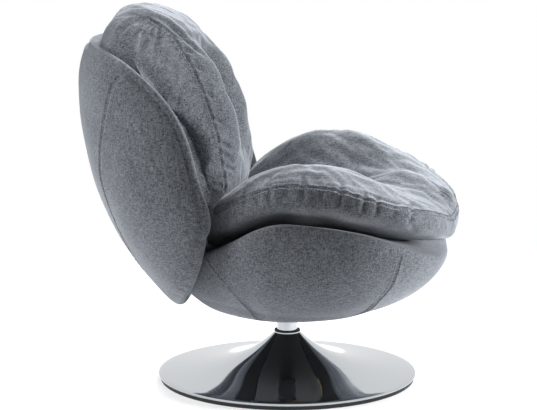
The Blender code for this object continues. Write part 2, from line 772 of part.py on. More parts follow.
def cover_mesh():
    """The trumpet: a thin turned shell with a collar, a long flare and a turned-in rim."""
    rim_top = RIM_LIFT + COVER_RIM_HEIGHT
    collar_foot = COVER_NECK_TOP - COVER_COLLAR
    reach = COVER_RADIUS - COVER_NECK_RADIUS
    flare = collar_foot - rim_top - COVER_EDGE_SLOPE * reach
    profile = [(COVER_NECK_RADIUS, COVER_NECK_TOP)]
    for index in range(COVER_FLARE_POINTS):
        share = (index / COVER_FLARE_POINTS) ** COVER_FLARE_CROWDING
        radius = COVER_NECK_RADIUS + reach * share
        left = COVER_RADIUS - radius
        height = rim_top + COVER_EDGE_SLOPE * left + flare * (left / reach) ** COVER_FLARE_POWER
        profile.append((radius, height))
    profile.append((COVER_RADIUS - COVER_WALL, rim_top))
    profile.append((COVER_RADIUS, rim_top - COVER_WALL))
    profile.append((COVER_RADIUS, RIM_LIFT + COVER_WALL))
    profile.append((COVER_RADIUS - COVER_WALL, RIM_LIFT))
    profile.append((COVER_RADIUS - COVER_LIP, RIM_LIFT))
    skin = turned_mesh("base_cover_skin", profile, FINE_STEPS, False)
    helper = add_cutter("base_cover_skin", skin)
    wall = helper.modifiers.new("wall", "SOLIDIFY")
    wall.thickness = COVER_WALL
    wall.offset = -1
    mesh = evaluated_mesh(helper)
    bpy.data.objects.remove(helper, do_unlink=True)
    mesh.name = "base_cover"
    return shade(mesh)


def race_mesh(name, flat, back):
    """A bearing race: a washer with a groove round the balls on its flat side."""
    inner = BALL_CIRCLE - RACE_WIDTH / 2
    outer = BALL_CIRCLE + RACE_WIDTH / 2
    up = 1 if flat > back else -1
    arc = BALL_RADIUS + CLEAR
    drop = abs(BALL_HEIGHT - flat)
    half = math.asin(math.sqrt(arc**2 - drop**2) / arc)
    groove = []
    for index in range(RACE_GROOVE_POINTS):
        turn = -half + 2 * half * index / (RACE_GROOVE_POINTS - 1)
        groove.append((BALL_CIRCLE + arc * math.sin(turn), BALL_HEIGHT - up * arc * math.cos(turn)))
    profile = [(inner, back), (inner, flat), *groove, (outer, flat), (outer, back)]
    return turned_mesh(name, profile, ROUND_STEPS, True)


def make_bearing(steel, brass):
    lower = race_mesh("lower_race", LOWER_RACE_TOP, LOWER_RACE_BOTTOM)
    add_part("lower_race", lower, steel)
    inner = BALL_CIRCLE - CAGE_WIDTH / 2
    outer = BALL_CIRCLE + CAGE_WIDTH / 2
    half = CAGE_THICKNESS / 2
    cage = add_part(
        "ball_cage",
        ring_mesh("ball_cage", inner, outer, BALL_HEIGHT - half, BALL_HEIGHT + half),
        brass,
    )
    spots = on_circle(BALL_CIRCLE, BALL_COUNT)
    low = BALL_HEIGHT - BALL_RADIUS
    high = BALL_HEIGHT + BALL_RADIUS
    cut(cage, cylinders("ball_pockets", spots, BALL_RADIUS + CLEAR, low, high))
    ball = bmesh.new()
    bmesh.ops.create_uvsphere(
        ball, u_segments=BALL_SEGMENTS, v_segments=BALL_RINGS, radius=BALL_RADIUS
    )
    ball_mesh = mesh_of("bearing_ball", ball)
    for index, (x, y) in enumerate(spots, 1):
        piece = add_part(f"bearing_ball_{index}", ball_mesh, steel)
        piece.location = (x, y, BALL_HEIGHT)
    upper = race_mesh("upper_race", UPPER_RACE_BOTTOM, UPPER_RACE_TOP)
    add_part("upper_race", upper, steel)


def make_swivel(steel, black_steel, spring_steel):
    clip_top = BUSH_FOOT - CLEAR
    clip_foot = clip_top - CLIP_THICKNESS
    neck = SPINDLE_RADIUS - CLIP_GROOVE
    profile = [
        (0, SWIVEL_TOP),
        (SPINDLE_RADIUS, SWIVEL_TOP),
        (SPINDLE_RADIUS, clip_top + CLEAR),
        (neck, clip_top + CLEAR),
        (neck, clip_foot - CLEAR),
        (SPINDLE_RADIUS, clip_foot - CLEAR),
        (SPINDLE_RADIUS, SPINDLE_FOOT),
        (0, SPINDLE_FOOT),
    ]
    add_part("swivel_spindle", turned_mesh("swivel_spindle", profile, ROUND_STEPS, False), steel)
    clip = add_part(
        "spindle_clip",
        ring_mesh("spindle_clip", neck + CLEAR, CLIP_RADIUS, clip_foot, clip_top),
        spring_steel,
    )
    reach = CLIP_RADIUS * 2
    middle = (0, -reach / 2, (clip_foot + clip_top) / 2)
    slit = add_cutter("clip_slit", mesh_of("clip_slit", box_form((CLIP_SLIT, reach, reach), middle)))
    cut(clip, slit)
    plate_mesh = swivel_plate_mesh("swivel_plate", 0, SWIVEL_BOTTOM, SWIVEL_TOP)
    plate = add_part("swivel_plate", plate_mesh, black_steel)
    high = SWIVEL_TOP + SWIVEL_PLATE_THICKNESS
    low = SWIVEL_BOTTOM - SWIVEL_PLATE_THICKNESS
    cut(plate, cylinders("spindle_hole", [(0, 0)], SPINDLE_RADIUS + CLEAR, low, high, ROUND_STEPS))
    spots = corners(SWIVEL_BOLT_SPACING / 2)
    cut(plate, cylinders("plate_holes", spots, BOLT_RADIUS + CLEAR, low, high))
    bolt = fastener_mesh("plate_bolt", BOLT_RADIUS, BOLT_LENGTH)
    for index, (x, y) in enumerate(spots, 1):
        piece = add_part(f"plate_bolt_{index}", bolt, black_steel)
        piece.location = (x, y, SWIVEL_BOTTOM - CLEAR)
        piece.rotation_euler = (math.pi, 0, 0)


def swivel_plate_mesh(name, grow, bottom, top):
    """A square plate with round corners, by bevelling a box's upright edges."""
    side = grow + SWIVEL_PLATE_SIDE + grow
    form = box_form((side, side, top - bottom), (0, 0, (bottom + top) / 2))
    upright = [edge for edge in form.edges if abs(edge.verts[0].co.z - edge.verts[1].co.z) > CLEAR]
    bmesh.ops.bevel(
        form,
        geom=upright,
        offset=SWIVEL_PLATE_CORNER,
        segments=SWIVEL_PLATE_CORNER_STEPS,
        affect="EDGES",
        profile=0.5,
    )
    return mesh_of(name, form)


def make_seat_frame(wood, plywood, brass, cloth):
    spots = corners(SWIVEL_BOLT_SPACING / 2)
    insert_top = RAIL_BOTTOM + INSERT_LENGTH
    bore_top = insert_top + CLEAR
    bolt_end = SWIVEL_BOTTOM + BOLT_LENGTH + CLEAR
    low = RAIL_BOTTOM - BOLT_LENGTH
    high = max(bolt_end, bore_top) + CLEAR
    bores = cylinders("insert_bores", spots, INSERT_RADIUS + CLEAR, low, bore_top)
    tips = cylinders("bolt_tips", spots, BOLT_RADIUS + CLEAR, low, high)
    for name, x in (("seat_rail_left", -1), ("seat_rail_right", 1)):
        middle = (x * SWIVEL_BOLT_SPACING / 2, 0, (RAIL_BOTTOM + RAIL_TOP) / 2)
        size = (RAIL_WIDTH, RAIL_LENGTH, RAIL_HEIGHT)
        rail = add_part(name, mesh_of(name, box_form(size, middle)), wood)
        cut(rail, bores)
        cut(rail, tips)
    inner = BOLT_RADIUS + CLEAR
    sleeve = ring_mesh("rail_insert", inner, INSERT_RADIUS, RAIL_BOTTOM, insert_top, HOLE_SIDES)
    for index, (x, y) in enumerate(spots, 1):
        piece = add_part(f"rail_insert_{index}", sleeve, brass)
        piece.location = (x, y, 0)
    board = add_part(
        "seat_board", disc_mesh("seat_board", BOARD_RADIUS, BOARD_BOTTOM, BOARD_TOP), plywood
    )
    board.location = (0, BOARD_SETBACK, 0)
    cloth_top = RAIL_BOTTOM - CLEAR
    cloth_foot = cloth_top - BOTTOM_CLOTH_THICKNESS
    bottom = add_part(
        "bottom_cloth",
        disc_mesh("bottom_cloth", MOUTH_RADIUS - CLEAR, cloth_foot, cloth_top, MOUTH_STEPS),
        cloth,
    )
    window = swivel_plate_mesh(
        "cloth_window", BOTTOM_CLOTH_MARGIN, cloth_foot - RAIL_HEIGHT, cloth_top + RAIL_HEIGHT
    )
    cut(bottom, add_cutter("cloth_window", window))
    return board


def make_back_frame(board, steel, plywood, zinc):
    back = add_part("back_board", mesh_of("back_board", board_form(0)), plywood)
    bracket = add_part("back_bracket", bracket_mesh("back_bracket", 0), steel)
    cut(back, add_cutter("bracket_seat", bracket_mesh("bracket_seat", CLEAR)))
    frames = bracket_bolt_frames()
    length = BRACKET_THICKNESS + CLEAR + BOARD_THICKNESS - BRACKET_SCREW_SHORT
    holes = holes_along("bracket_holes", frames, SCREW_RADIUS + CLEAR, length + CLEAR, length)
    for piece in (back, bracket, board):
        cut(piece, holes)
    screw = fastener_mesh("bracket_screw", SCREW_RADIUS, length)
    for index, frame in enumerate(frames, 1):
        piece = add_part(f"bracket_screw_{index}", screw, zinc)
        piece.matrix_world = frame
    heads = SCREW_RADIUS * HEAD_RATIO
    height = SCREW_RADIUS * 2 * HEAD_HEIGHT_RATIO
    return frames, heads + CLEAR, height + CLEAR


def make_pads(weave, frames, head_radius, head_height):
    """The four upholstered pieces, each cut by what it wraps and by the pieces before it."""
    shell = pad_object("back_shell", shell_place, SHELL_FORM, weave)
    hull = pad_object("seat_shell", hull_place, HULL_FORM, weave)
    seat = pad_object("seat_cushion", seat_place, CUSHION_FORM, weave)
    pillow = pad_object("back_cushion", pillow_place, PILLOW_FORM, weave)
    shell_room = pad_room("shell_room", shell)
    hull_room = pad_room("hull_room", hull)
    seat_room = pad_room("seat_room", seat)
    open_front = board_form(CLEAR, front_extra=SHELL_HALF_THICKNESS)
    pocket = add_cutter("board_pocket", mesh_of("board_pocket", open_front))
    open_rear = board_form(CLEAR, rear_extra=SHELL_HALF_THICKNESS)
    face = add_cutter("board_face", mesh_of("board_face", open_rear))
    bracket = add_cutter("bracket_slot", bracket_mesh("bracket_slot", CLEAR))
    heads = holes_along("screw_heads", frames, head_radius, BRACKET_THICKNESS, head_height)
    board = disc_mesh("board_room", BOARD_RADIUS + CLEAR, BOARD_BOTTOM - CLEAR, BOARD_TOP + CLEAR)
    board_room = add_cutter("board_room", board)
    board_room.location = (0, BOARD_SETBACK, 0)
    low = HULL_BOTTOM - RAIL_HEIGHT
    opening = disc_mesh("hull_mouth", MOUTH_RADIUS, low, BOARD_BOTTOM, MOUTH_STEPS)
    mouth = add_cutter("hull_mouth", opening)
    for tool in (pocket, bracket):
        cut(shell, tool, "MANIFOLD")
    for tool in (shell_room, board_room, mouth, bracket, heads):
        cut(hull, tool, "MANIFOLD")
    for tool in (hull_room, shell_room):
        cut(seat, tool, "MANIFOLD")
    for tool in (shell_room, seat_room, hull_room, face, bracket, heads):
        cut(pillow, tool, "MANIFOLD")


def main():
    clear_scene()
    chrome = material("chrome", "#D9DBDD", 0.05, 1.0)
    black_steel = material("black_steel", "#1B1C1E", 0.45, 0.6)
    rubber = material("black_rubber", "#17181A", 0.6)
    foam = material("black_foam", "#202124", 0.9)
    nylon = material("white_nylon", "#E4E2DB", 0.5)
    zinc = material("zinc_steel", "#A9ABAD", 0.35, 1.0)
    steel = material("ground_steel", "#B8BABC", 0.25, 1.0)
    brass = material("brass", "#B79A57", 0.3, 1.0)
    wood = material("beech", "#C8A677", 0.6)
    plywood = material("plywood", "#BFA06D", 0.65)
    cloth = material("black_nonwoven", "#19191B", 0.95)
    weave = material("grey_chenille", "#63676C", 0.95)
    make_base(chrome, black_steel, rubber, foam, nylon, zinc)
    make_bearing(steel, brass)
    make_swivel(steel, black_steel, zinc)
    board = make_seat_frame(wood, plywood, brass, cloth)
    frames, head_radius, head_height = make_back_frame(board, black_steel, plywood, zinc)
    make_pads(weave, frames, head_radius, head_height)


main()
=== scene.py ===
"""The looks of the swivel armchair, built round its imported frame.

Metres, +Z up. The origin is on the floor, on the swivel axis. The sitter faces -Y.
"""

import json
import math

import bpy
import numpy as np
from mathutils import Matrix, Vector
from mathutils.bvhtree import BVHTree


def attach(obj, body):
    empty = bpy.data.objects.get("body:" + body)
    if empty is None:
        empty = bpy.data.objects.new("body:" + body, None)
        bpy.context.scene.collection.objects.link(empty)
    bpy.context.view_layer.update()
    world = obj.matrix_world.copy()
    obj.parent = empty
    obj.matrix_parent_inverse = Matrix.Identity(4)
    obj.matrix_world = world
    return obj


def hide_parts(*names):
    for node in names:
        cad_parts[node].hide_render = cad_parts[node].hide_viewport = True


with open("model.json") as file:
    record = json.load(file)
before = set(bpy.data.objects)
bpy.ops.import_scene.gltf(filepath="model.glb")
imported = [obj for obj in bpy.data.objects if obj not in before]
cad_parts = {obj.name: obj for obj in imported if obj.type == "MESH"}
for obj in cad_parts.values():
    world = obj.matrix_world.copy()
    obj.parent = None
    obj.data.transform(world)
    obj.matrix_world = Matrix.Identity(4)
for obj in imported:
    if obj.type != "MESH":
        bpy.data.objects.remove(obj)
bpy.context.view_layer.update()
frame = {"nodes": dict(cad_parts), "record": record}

# The photograph's camera
PHOTO_WIDTH = 537
PHOTO_HEIGHT = 410
LENS = 137.83
FILM = 36
CAMERA_PLACE = (-4.164, -0.548, 1.11)
CAMERA_PITCH = 10.05
CAMERA_HEADING = -81.968

# The trumpet base, as the frame has it
CLEAR = 0.0003
COVER_RADIUS = 0.270
COVER_WALL = 0.0015
COVER_LIP = 0.012
COVER_RIM_HEIGHT = 0.006
COVER_RIM_ROUND = 0.003
COVER_NECK_RADIUS = 0.027
COVER_NECK_TOP = 0.099
COVER_COLLAR = 0.002
COVER_EDGE_SLOPE = 0.12
COVER_FLARE_POWER = 4.0
RIM_LIFT = 0.0082
PLATE_RADIUS = 0.252
GASKET_RADIUS = 0.266
COLUMN_RADIUS = 0.0215
COLUMN_BORE = 0.019
COLUMN_FOOT = 0.0159
COLUMN_TOP = 0.1405
NECK_RING_HEIGHT = 0.003

# How finely the base is turned here, and how its edges are broken
TURNING_STEPS = 160
COVER_STEPS = 56
COVER_SPREAD = 1.6
COVER_ROUND_TURNS = (78, -90, 10)
EDGING_ROUND = 0.0015
COLUMN_ROUND = 0.0006
NECK_RING_ROUND = 0.0010

# The soft forms. They are the frame's, but for the fade of the seat cushion's lobes, its crown, its
# underside and its nose, which follow the real cushion more closely.
SWIVEL_TOP = 0.1539
HULL_BOTTOM = 0.1509
HULL_HALF_WIDTH = 0.346
HULL_FRONT = -0.332
HULL_REAR = 0.270
HULL_FRONT_OUTLINE = 2.4
HULL_REAR_OUTLINE = 1.6
HULL_EDGE_DROP = 0.020
HULL_EDGE_DROP_SIDE = 0.006
HULL_TOP_POWER = 0.5
HULL_FOOT_MARGIN = 0.010
HULL_FOOT_BLEND = 0.080
MOUTH_RADIUS = 0.125
MOUTH_TOP = 0.1556
SEAT_MEET_HEIGHT = 0.175
SEAT_MEET_SIDE_RISE = 0.078
SEAT_MEET_FRONT_FALL = 0.45
SEAT_MEET_REAR_DROP = 0.064
SEAT_MEET_REAR_REACH = 0.158
SEAT_MEET_MIDDLE = -0.050
SEAT_SINK = 0.003
CUSHION_HALF_WIDTH = 0.352
CUSHION_FRONT = -0.354
CUSHION_REAR = 0.155
CUSHION_FRONT_OUTLINE = 2.4
CUSHION_REAR_OUTLINE = 2.6
VALLEY_THICKNESS = 0.080
LOBE_RISE = 0.060
LOBE_FADE = 0.48
LOBE_PLACE = 0.235
LOBE_TURN_IN = 0.060
LOBE_WIDTH = 0.105
CROWN_RISE = 0.064
CROWN_WIDTH = 0.095
CROWN_START = -0.100
CROWN_LENGTH = 0.180
CUSHION_EQUATOR = 0.50
CUSHION_UNDER_POWER = 0.24
CUSHION_NOSE_POWER = 0.60
CUSHION_NOSE_START = -0.180
CUSHION_NOSE_LENGTH = 0.120
SHELL_FOOT = 0.003
SHELL_TOP = 0.557
SHELL_HALF_ANGLE = 83.0
SHELL_HALF_WIDTH = 0.326
SHELL_WRAP = 0.280
SHELL_HALF_THICKNESS = 0.034
SHELL_REAR = 0.4245
SHELL_REAR_HEIGHT = 0.465
SHELL_CURVE = 1.35
SHELL_CURVE_POWER = 2.4
SHELL_TOP_CURVE = 3.2
SHELL_END_POWER = 4
SHELL_FOOT_OUTLINE = 1.65
PILLOW_MIDDLE = (0.2166, 0.4110)
PILLOW_RECLINE = 21.0
PILLOW_BEND = 0.042
PILLOW_HALF_HEIGHT = 0.222
PILLOW_HALF_WIDTH = 0.258
PILLOW_FRONT_DEPTH = 0.096
PILLOW_REAR_DEPTH = 0.150
PILLOW_REAR_POWER = 1.5
PILLOW_REAR_TAPER = 0.3
PILLOW_OUTLINE = 2.6
PILLOW_ROLL_RISE = 0.017
PILLOW_ROLL_PLACE = 0.078
PILLOW_ROLL_WIDTH = 0.050
PILLOW_ROLL_FOOT = -0.80
PILLOW_ROLL_GROWTH = 0.70
PILLOW_ROLL_HEAD = 0.62
PILLOW_ROLL_FADE = 0.36
PILLOW_VALLEY_DEPTH = 0.030
PILLOW_VALLEY_WIDTH = 0.036
PILLOW_SIDE_FALL = 0.045
PILLOW_SIDE_START = 0.070
PILLOW_SIDE_RUN = 0.140
PILLOW_CROWN_RISE = 0.010
PILLOW_CROWN_WIDTH = 0.100
PILLOW_CROWN_FOOT = 0.30
PILLOW_CROWN_GROWTH = 0.35
PAD_EDGE_RATIO = 0.93
OUTLINE_BLEND = 0.3
SHELL_FORM = (4.0, 2.2)
HULL_FORM = (2.9, 1.6)
CUSHION_FORM = (2.6, 2.0)
PILLOW_FORM = (3.5, 2.0)
MOUTH_BLEND = 0.006

# Squares of each cover across, along and up, before they are divided
SHELL_SQUARES = (96, 80, 8)
HULL_SQUARES = (84, 76, 16)
CUSHION_SQUARES = (56, 46, 9)
PILLOW_SQUARES = (50, 45, 10)

# The frame's shell has coarse faces that cut its top corners; on fine faces this outline does the same.
SHELL_TOP_OUTLINE = 3.0

# The cloth on the shell's inner face covers the back board, which stands out of it by 6 mm.
LINING_RISE = 0.008
LINING_EDGE = 0.78
LINING_FADE = 0.12

# Seams. An angle runs round a cover, in degrees; a level runs from its lower face, -1, to its upper, 1.
SEAT_SEAM = [
    (130, 0.00), (140, 0.03), (150, 0.12), (165, 0.20), (180, 0.21), (190, 0.17), (200, 0.14),
    (210, 0.165), (220, 0.21), (230, 0.28), (240, 0.29), (255, 0.18), (270, 0.12),
]
SEAT_CREASE = [(0, 0.10), (0.005, -0.06), (0.030, -0.12), (0.070, -0.17), (0.095, -0.22)]
SHELL_RIM_LEVEL = -0.36
SHELL_PANEL_SEAM = [
    (-0.60, 0.74), (-0.56, 0.66), (-0.50, 0.46), (-0.455, 0.28), (-0.43, 0.07), (-0.41, -0.15),
    (-0.37, -0.40), (-0.30, -0.62), (-0.20, -0.80),
]
HULL_REAR_SEAM = [
    (-0.267, 0.122, 0.306), (-0.272, 0.088, 0.264), (-0.243, 0.060, 0.217), (-0.197, 0.041, 0.181),
    (-0.165, 0.032, 0.165),
]
HULL_FRONT_SEAM = [
    (-0.258, -0.256, 0.318), (-0.256, -0.250, 0.303), (-0.234, -0.236, 0.254),
    (-0.212, -0.205, 0.215), (-0.158, -0.178, 0.181), (-0.128, -0.160, 0.168),
]

# Seams and creases, traced in the photograph's pixels on the side that it shows
PILLOW_SEAM = [
    (151, 20), (163, 28), (175, 37), (182, 51), (195, 74), (202, 89), (213, 121), (218, 140),
    (222, 166), (225, 191),
]
PILLOW_CROWN_CREASE = [[(161, 18), (170, 25), (179, 32), (186, 38), (197, 49), (207, 57)]]
PILLOW_TUCK = [
    [(149, 82), (158, 90), (169, 101), (179, 113), (188, 125), (195, 138), (201, 157), (205, 176),
     (208, 192), (210, 206)],
]
PILLOW_HOLLOW = [
    [(132, 54), (148, 70), (165, 90), (180, 110), (193, 132), (201, 152), (207, 172), (211, 190),
     (214, 206)],
]
SEAT_PLEATS = [
    [(245, 183), (245, 192), (246, 203), (243, 214)],
    [(272, 176), (271, 185), (270, 196), (271, 206)],
    [(304, 175), (303, 183), (304, 194), (303, 202)],
    [(342, 183), (340, 190), (341, 200), (339, 209)],
    [(366, 191), (364, 198), (364, 207), (361, 215)],
    [(379, 195), (377, 202), (377, 210), (374, 217)],
    [(413, 202), (412, 209), (411, 217), (408, 224)],
]
SEAT_FOLDS = [
    [(403, 215), (409, 222), (417, 233)],
    [(322, 188), (323, 196), (322, 204)],
    [(288, 184), (287, 192), (288, 199)],
    [(395, 206), (394, 213), (391, 219)],
    [(258, 192), (257, 200), (259, 208)],
    [(231, 205), (230, 215), (226, 226)],
]
SEAT_PINCH = [[(439, 190), (443, 193), (447, 196), (450, 199), (452, 202)]]
PILLOW_GATHERS = [
    [(150, 17), (142, 18), (134, 22)],
    [(149, 19), (141, 21), (134, 28)],
    [(152, 21), (143, 24), (136, 33)],
    [(153, 23), (146, 28), (141, 35), (139, 43)],
    [(156, 24), (152, 30), (150, 39)],
    [(160, 27), (158, 33), (158, 41)],
    [(166, 31), (162, 36), (158, 38)],
    [(171, 36), (166, 39), (161, 40)],
    [(176, 41), (170, 43), (165, 43)],
    [(181, 48), (175, 50), (171, 49)],
]
PILLOW_DRAPES = [
    [(153, 19), (140, 19), (128, 25), (120, 36)],
    [(153, 22), (142, 27), (132, 37), (127, 48)],
    [(156, 25), (147, 35), (141, 47), (138, 58)],
    [(161, 29), (156, 39), (153, 51)],
]
PILLOW_DIMPLES = [
    [(176, 38), (181, 39), (187, 42)],
    [(183, 50), (188, 51), (194, 54)],
    [(194, 67), (199, 68), (205, 71)],
    [(205, 93), (209, 94), (214, 98)],
    [(214, 120), (219, 121), (224, 125)],
    [(219, 143), (225, 145), (232, 149)],
    [(221, 155), (227, 156), (232, 158)],
    [(222, 168), (228, 168), (235, 171)],
    [(216, 187), (220, 186), (225, 188)],
]
SHELL_WRINKLES = [
    [(185, 216), (190, 219), (197, 220)],
    [(186, 224), (191, 226), (197, 226)],
    [(184, 232), (190, 232), (196, 230)],
    [(180, 206), (187, 210), (194, 212)],
]

# Sewing
STITCH_LENGTH = 0.0042
STITCH_PITCH = 0.0060
STITCH_RADIUS = 0.0008
STITCH_SIDES = 6
STITCH_ROW_OFFSET = 0.0058
SEAT_SEAM_ANGLES = (130, 410, 240)
SHELL_RIM_ANGLES = (-74, 254, 330)

# How each line is pressed in: depth, width and, where it isn't the usual one, the share of the ridges
SEAT_CREASE_PRESS = (0.0045, 0.014, 0.15)
SEAT_SEAM_PRESS = (0.0028, 0.0034)
SEAT_PLEAT_PRESS = (0.0038, 0.0050, 0.2)
SEAT_FOLD_PRESS = (0.0018, 0.0060, 0.2)
SEAT_PINCH_PRESS = (0.0080, 0.0050, 0.4)
SEAT_PUCKER_PRESS = (0.0010, 0.0050, 0.2)
PILLOW_TUCK_PRESS = (0.0160, 0.0120, 0.0)
PILLOW_HOLLOW_PRESS = (0.0260, 0.0240, 0.0)
PILLOW_SEAM_PRESS = (0.0030, 0.0032)
PILLOW_CROWN_PRESS = (0.0080, 0.0085, 0.2)
PILLOW_DRAPE_PRESS = (0.0050, 0.0075, 0.4)
PILLOW_GATHER_PRESS = (0.0036, 0.0036, 0.3)
PILLOW_DIMPLE_PRESS = (0.0034, 0.0045, 0.4)
PILLOW_PUCKER_PRESS = (0.0014, 0.0050)
SHELL_RIM_PRESS = (0.0052, 0.0046, 0.3)
SHELL_SEAM_PRESS = (0.0024, 0.0032)
SHELL_WRINKLE_PRESS = (0.0030, 0.0050)
SHELL_PUCKER_PRESS = (0.0008, 0.0050)
HULL_SEAM_PRESS = (0.0016, 0.0030)

# Puckers along a seam: how many, how long, and the seed that places them
SEAT_PUCKERS = (14, 0.030, 21)
PILLOW_PUCKERS = ((16, 0.034, 31), (16, 0.034, 32))
SHELL_PUCKERS = (50, 0.022, 41)

# Swells of a cover: wave length, height and seed
SEAT_SWELLS = (0.09, 0.0010, 11)
PILLOW_SWELLS = (0.08, 0.0012, 12)
SHELL_SWELLS = (0.14, 0.0008, 13)
HULL_SWELLS = (0.12, 0.0008, 14)

# Filling: the cloth's pressure and slack, how far a point may move, and what the sewing holds
FILL_PRESSURE = 4.0
FILL_SLACK = 0.02
FILL_REACH = 0.012
FILL_FRAMES = 20
HELD_WIDTH = 0.012
HELD_LEVEL = 0.1
HELD_RISE = 3

# The room. A glow is its strength for the object, and for the camera and mirrors.
ROOM_GLOW = (0.02, 1.0)
NEAR_FLOOR_GLOW = (0.5, 0.45)
FAR_FLOOR_GLOW = (0.05, 1.0)
FLOOR_HALF = 9
FLOOR_DROP = 0.0002
FLOOR_WHITE_START = 0.6
FLOOR_WHITE_END = 1.5

# Lamps: name, place, what it is aimed at, size in metres and power in watts
LAMPS = [
    ("rear_lamp", (-1.0, 2.0, 2.7), (0, 0.1, 0.4), (1.6, 1.8), 60),
    ("rear_low_lamp", (-0.8, 2.6, 0.6), (0, 0.1, 0.3), (1.2, 0.8), 30),
    ("far_lamp", (2.6, 0.0, 1.3), (0, 0, 0.4), (1.6, 1.8), 125),
    ("top_lamp", (0.2, -1.4, 2.5), (0, 0, 0.3), (1.6, 1.6), 32),
    ("front_lamp", (0.2, -2.4, 0.8), (0, 0, 0.3), (1.2, 0.8), 76),
]


# Meshes


def link(name, mesh):
    piece = bpy.data.objects.new(name, mesh)
    bpy.context.scene.collection.objects.link(piece)
    return piece


def mesh_from(name, points, faces):
    mesh = bpy.data.meshes.new(name)
    mesh.from_pydata(np.asarray(points).tolist(), [], np.asarray(faces).tolist())
    mesh.shade_smooth()
    return mesh


def read_points(mesh, what="co"):
    flat = np.empty(len(mesh.vertices) * 3, np.float32)
    mesh.vertices.foreach_get(what, flat)
    return flat.reshape(-1, 3).astype(float)


def write_points(mesh, points):
    mesh.vertices.foreach_set("co", np.asarray(points, np.float32).ravel())
    mesh.update()


def read_value(mesh, name):
    values = np.empty(len(mesh.vertices), np.float32)
    mesh.attributes[name].data.foreach_get("value", values)
    return values.astype(float)


def shown_mesh(piece):
    bpy.context.view_layer.update()
    graph = bpy.context.evaluated_depsgraph_get()
    return bpy.data.meshes.new_from_object(piece.evaluated_get(graph))


def turned(name, profile, finish, closed=True, steps=TURNING_STEPS):
    """A profile of (radius, height) points turned about the swivel axis."""
    profile = np.array(profile, float)
    rows = len(profile)
    angles = np.arange(steps) * 2 * math.pi / steps
    points = np.stack(
        [
            np.outer(np.cos(angles), profile[:, 0]),
            np.outer(np.sin(angles), profile[:, 0]),
            np.outer(np.ones(steps), profile[:, 1]),
        ],
        axis=2,
    ).reshape(-1, 3)
    faces = []
    last = rows if closed else rows - 1
    for step in range(steps):
        here = step * rows
        ahead = (step + 1) % steps * rows
        for row in range(last):
            after = (row + 1) % rows
            faces.append((here + row, ahead + row, ahead + after, here + after))
    mesh = mesh_from(name, points, faces)
    mesh.set_sharp_from_angle(angle=math.radians(40))
    piece = link(name, mesh)
    piece.data.materials.append(finish)
    return piece


def rounded_profile(corners, radius, steps=4):
    """A closed profile whose corners are rounded off."""
    corners = [np.array(corner, float) for corner in corners]
    line = []
    for index, corner in enumerate(corners):
        before = corners[index - 1] - corner
        after = corners[(index + 1) % len(corners)] - corner
        reach = min(radius, np.linalg.norm(before) / 2.1, np.linalg.norm(after) / 2.1)
        start = corner + before / np.linalg.norm(before) * reach
        end = corner + after / np.linalg.norm(after) * reach
        for step in range(steps + 1):
            share = step / steps
            line.append((1 - share) ** 2 * start + 2 * share * (1 - share) * corner + share**2 * end)
    return line


# The forms of the upholstery


def eased(share):
    """0 to 1, level at both ends."""
    share = np.clip(share, 0, 1)
    return share * share * (3 - 2 * share)


def cube_skin(columns, rows, layers):
    """Points of a cube from -1 to 1 and its squares, cut into an even grid."""
    counts = (columns, rows, layers)
    squares = []
    for axis in range(3):
        first, second = [other for other in range(3) if other != axis]
        i, j = np.meshgrid(np.arange(counts[first]), np.arange(counts[second]), indexing="ij")
        for end in (0, counts[axis]):
            corners = np.zeros((i.size, 4, 3), int)
            corners[:, :, axis] = end
            for spot, (right, up) in enumerate(((0, 0), (1, 0), (1, 1), (0, 1))):
                corners[:, spot, first] = i.ravel() + right
                corners[:, spot, second] = j.ravel() + up
            outward = (end > 0) == (axis != 1)
            squares.append(corners if outward else corners[:, ::-1])
    squares = np.concatenate(squares)
    points, numbers = np.unique(squares.reshape(-1, 3), axis=0, return_inverse=True)
    return points / np.array(counts) * 2 - 1, numbers.reshape(-1, 4)


def pad_points(cube, fullness, roundness):
    """The cube's points as (u, v) in the unit disc and side, -1 below to 1 above."""
    x, y, z = cube.T
    u = x * np.sqrt(1 - y**2 / 2)
    v = y * np.sqrt(1 - x**2 / 2)
    spread = np.maximum(np.hypot(u, v), 1e-9)
    edge_side = (1 - PAD_EDGE_RATIO**fullness) ** (1 / roundness)
    inner = np.minimum(spread, 1) * PAD_EDGE_RATIO
    flat_side = np.sign(z) * (1 - inner**fullness) ** (1 / roundness)
    band_side = z * edge_side
    band_radius = (1 - np.abs(band_side) ** roundness) ** (1 / fullness)
    flat = np.abs(z) > 0.9999
    side = np.where(flat, flat_side, band_side)
    radius = np.where(flat, inner, band_radius)
    return u / spread * radius, v / spread * radius, side


def squared(u, v, low_power, high_power):
    """Stretches the unit disc to |u|^power + |v|^power = 1, with a power for low v and for high v."""
    size = np.hypot(u, v)
    middle = size < 1e-6
    size = np.where(middle, 1, size)
    share = np.clip(v / size / OUTLINE_BLEND / 2 + 0.5, 0, 1)
    power = low_power + (high_power - low_power) * share
    spread = np.abs(u / size) ** power + np.abs(v / size) ** power + middle
    reach = spread ** (-1 / power)
    return u * reach, v * reach


def meet_height(x, y):
    """The height at which the seat cushion lies on the hull."""
    along = y - SEAT_MEET_MIDDLE
    rear = SEAT_MEET_REAR_DROP * (1 - np.exp(-((along / SEAT_MEET_REAR_REACH) ** 2)))
    fall = np.where(along > 0, rear, SEAT_MEET_FRONT_FALL * along**2)
    rise = SEAT_MEET_SIDE_RISE * (x / HULL_HALF_WIDTH) ** 2
    return SWIVEL_TOP + SEAT_MEET_HEIGHT + rise - fall


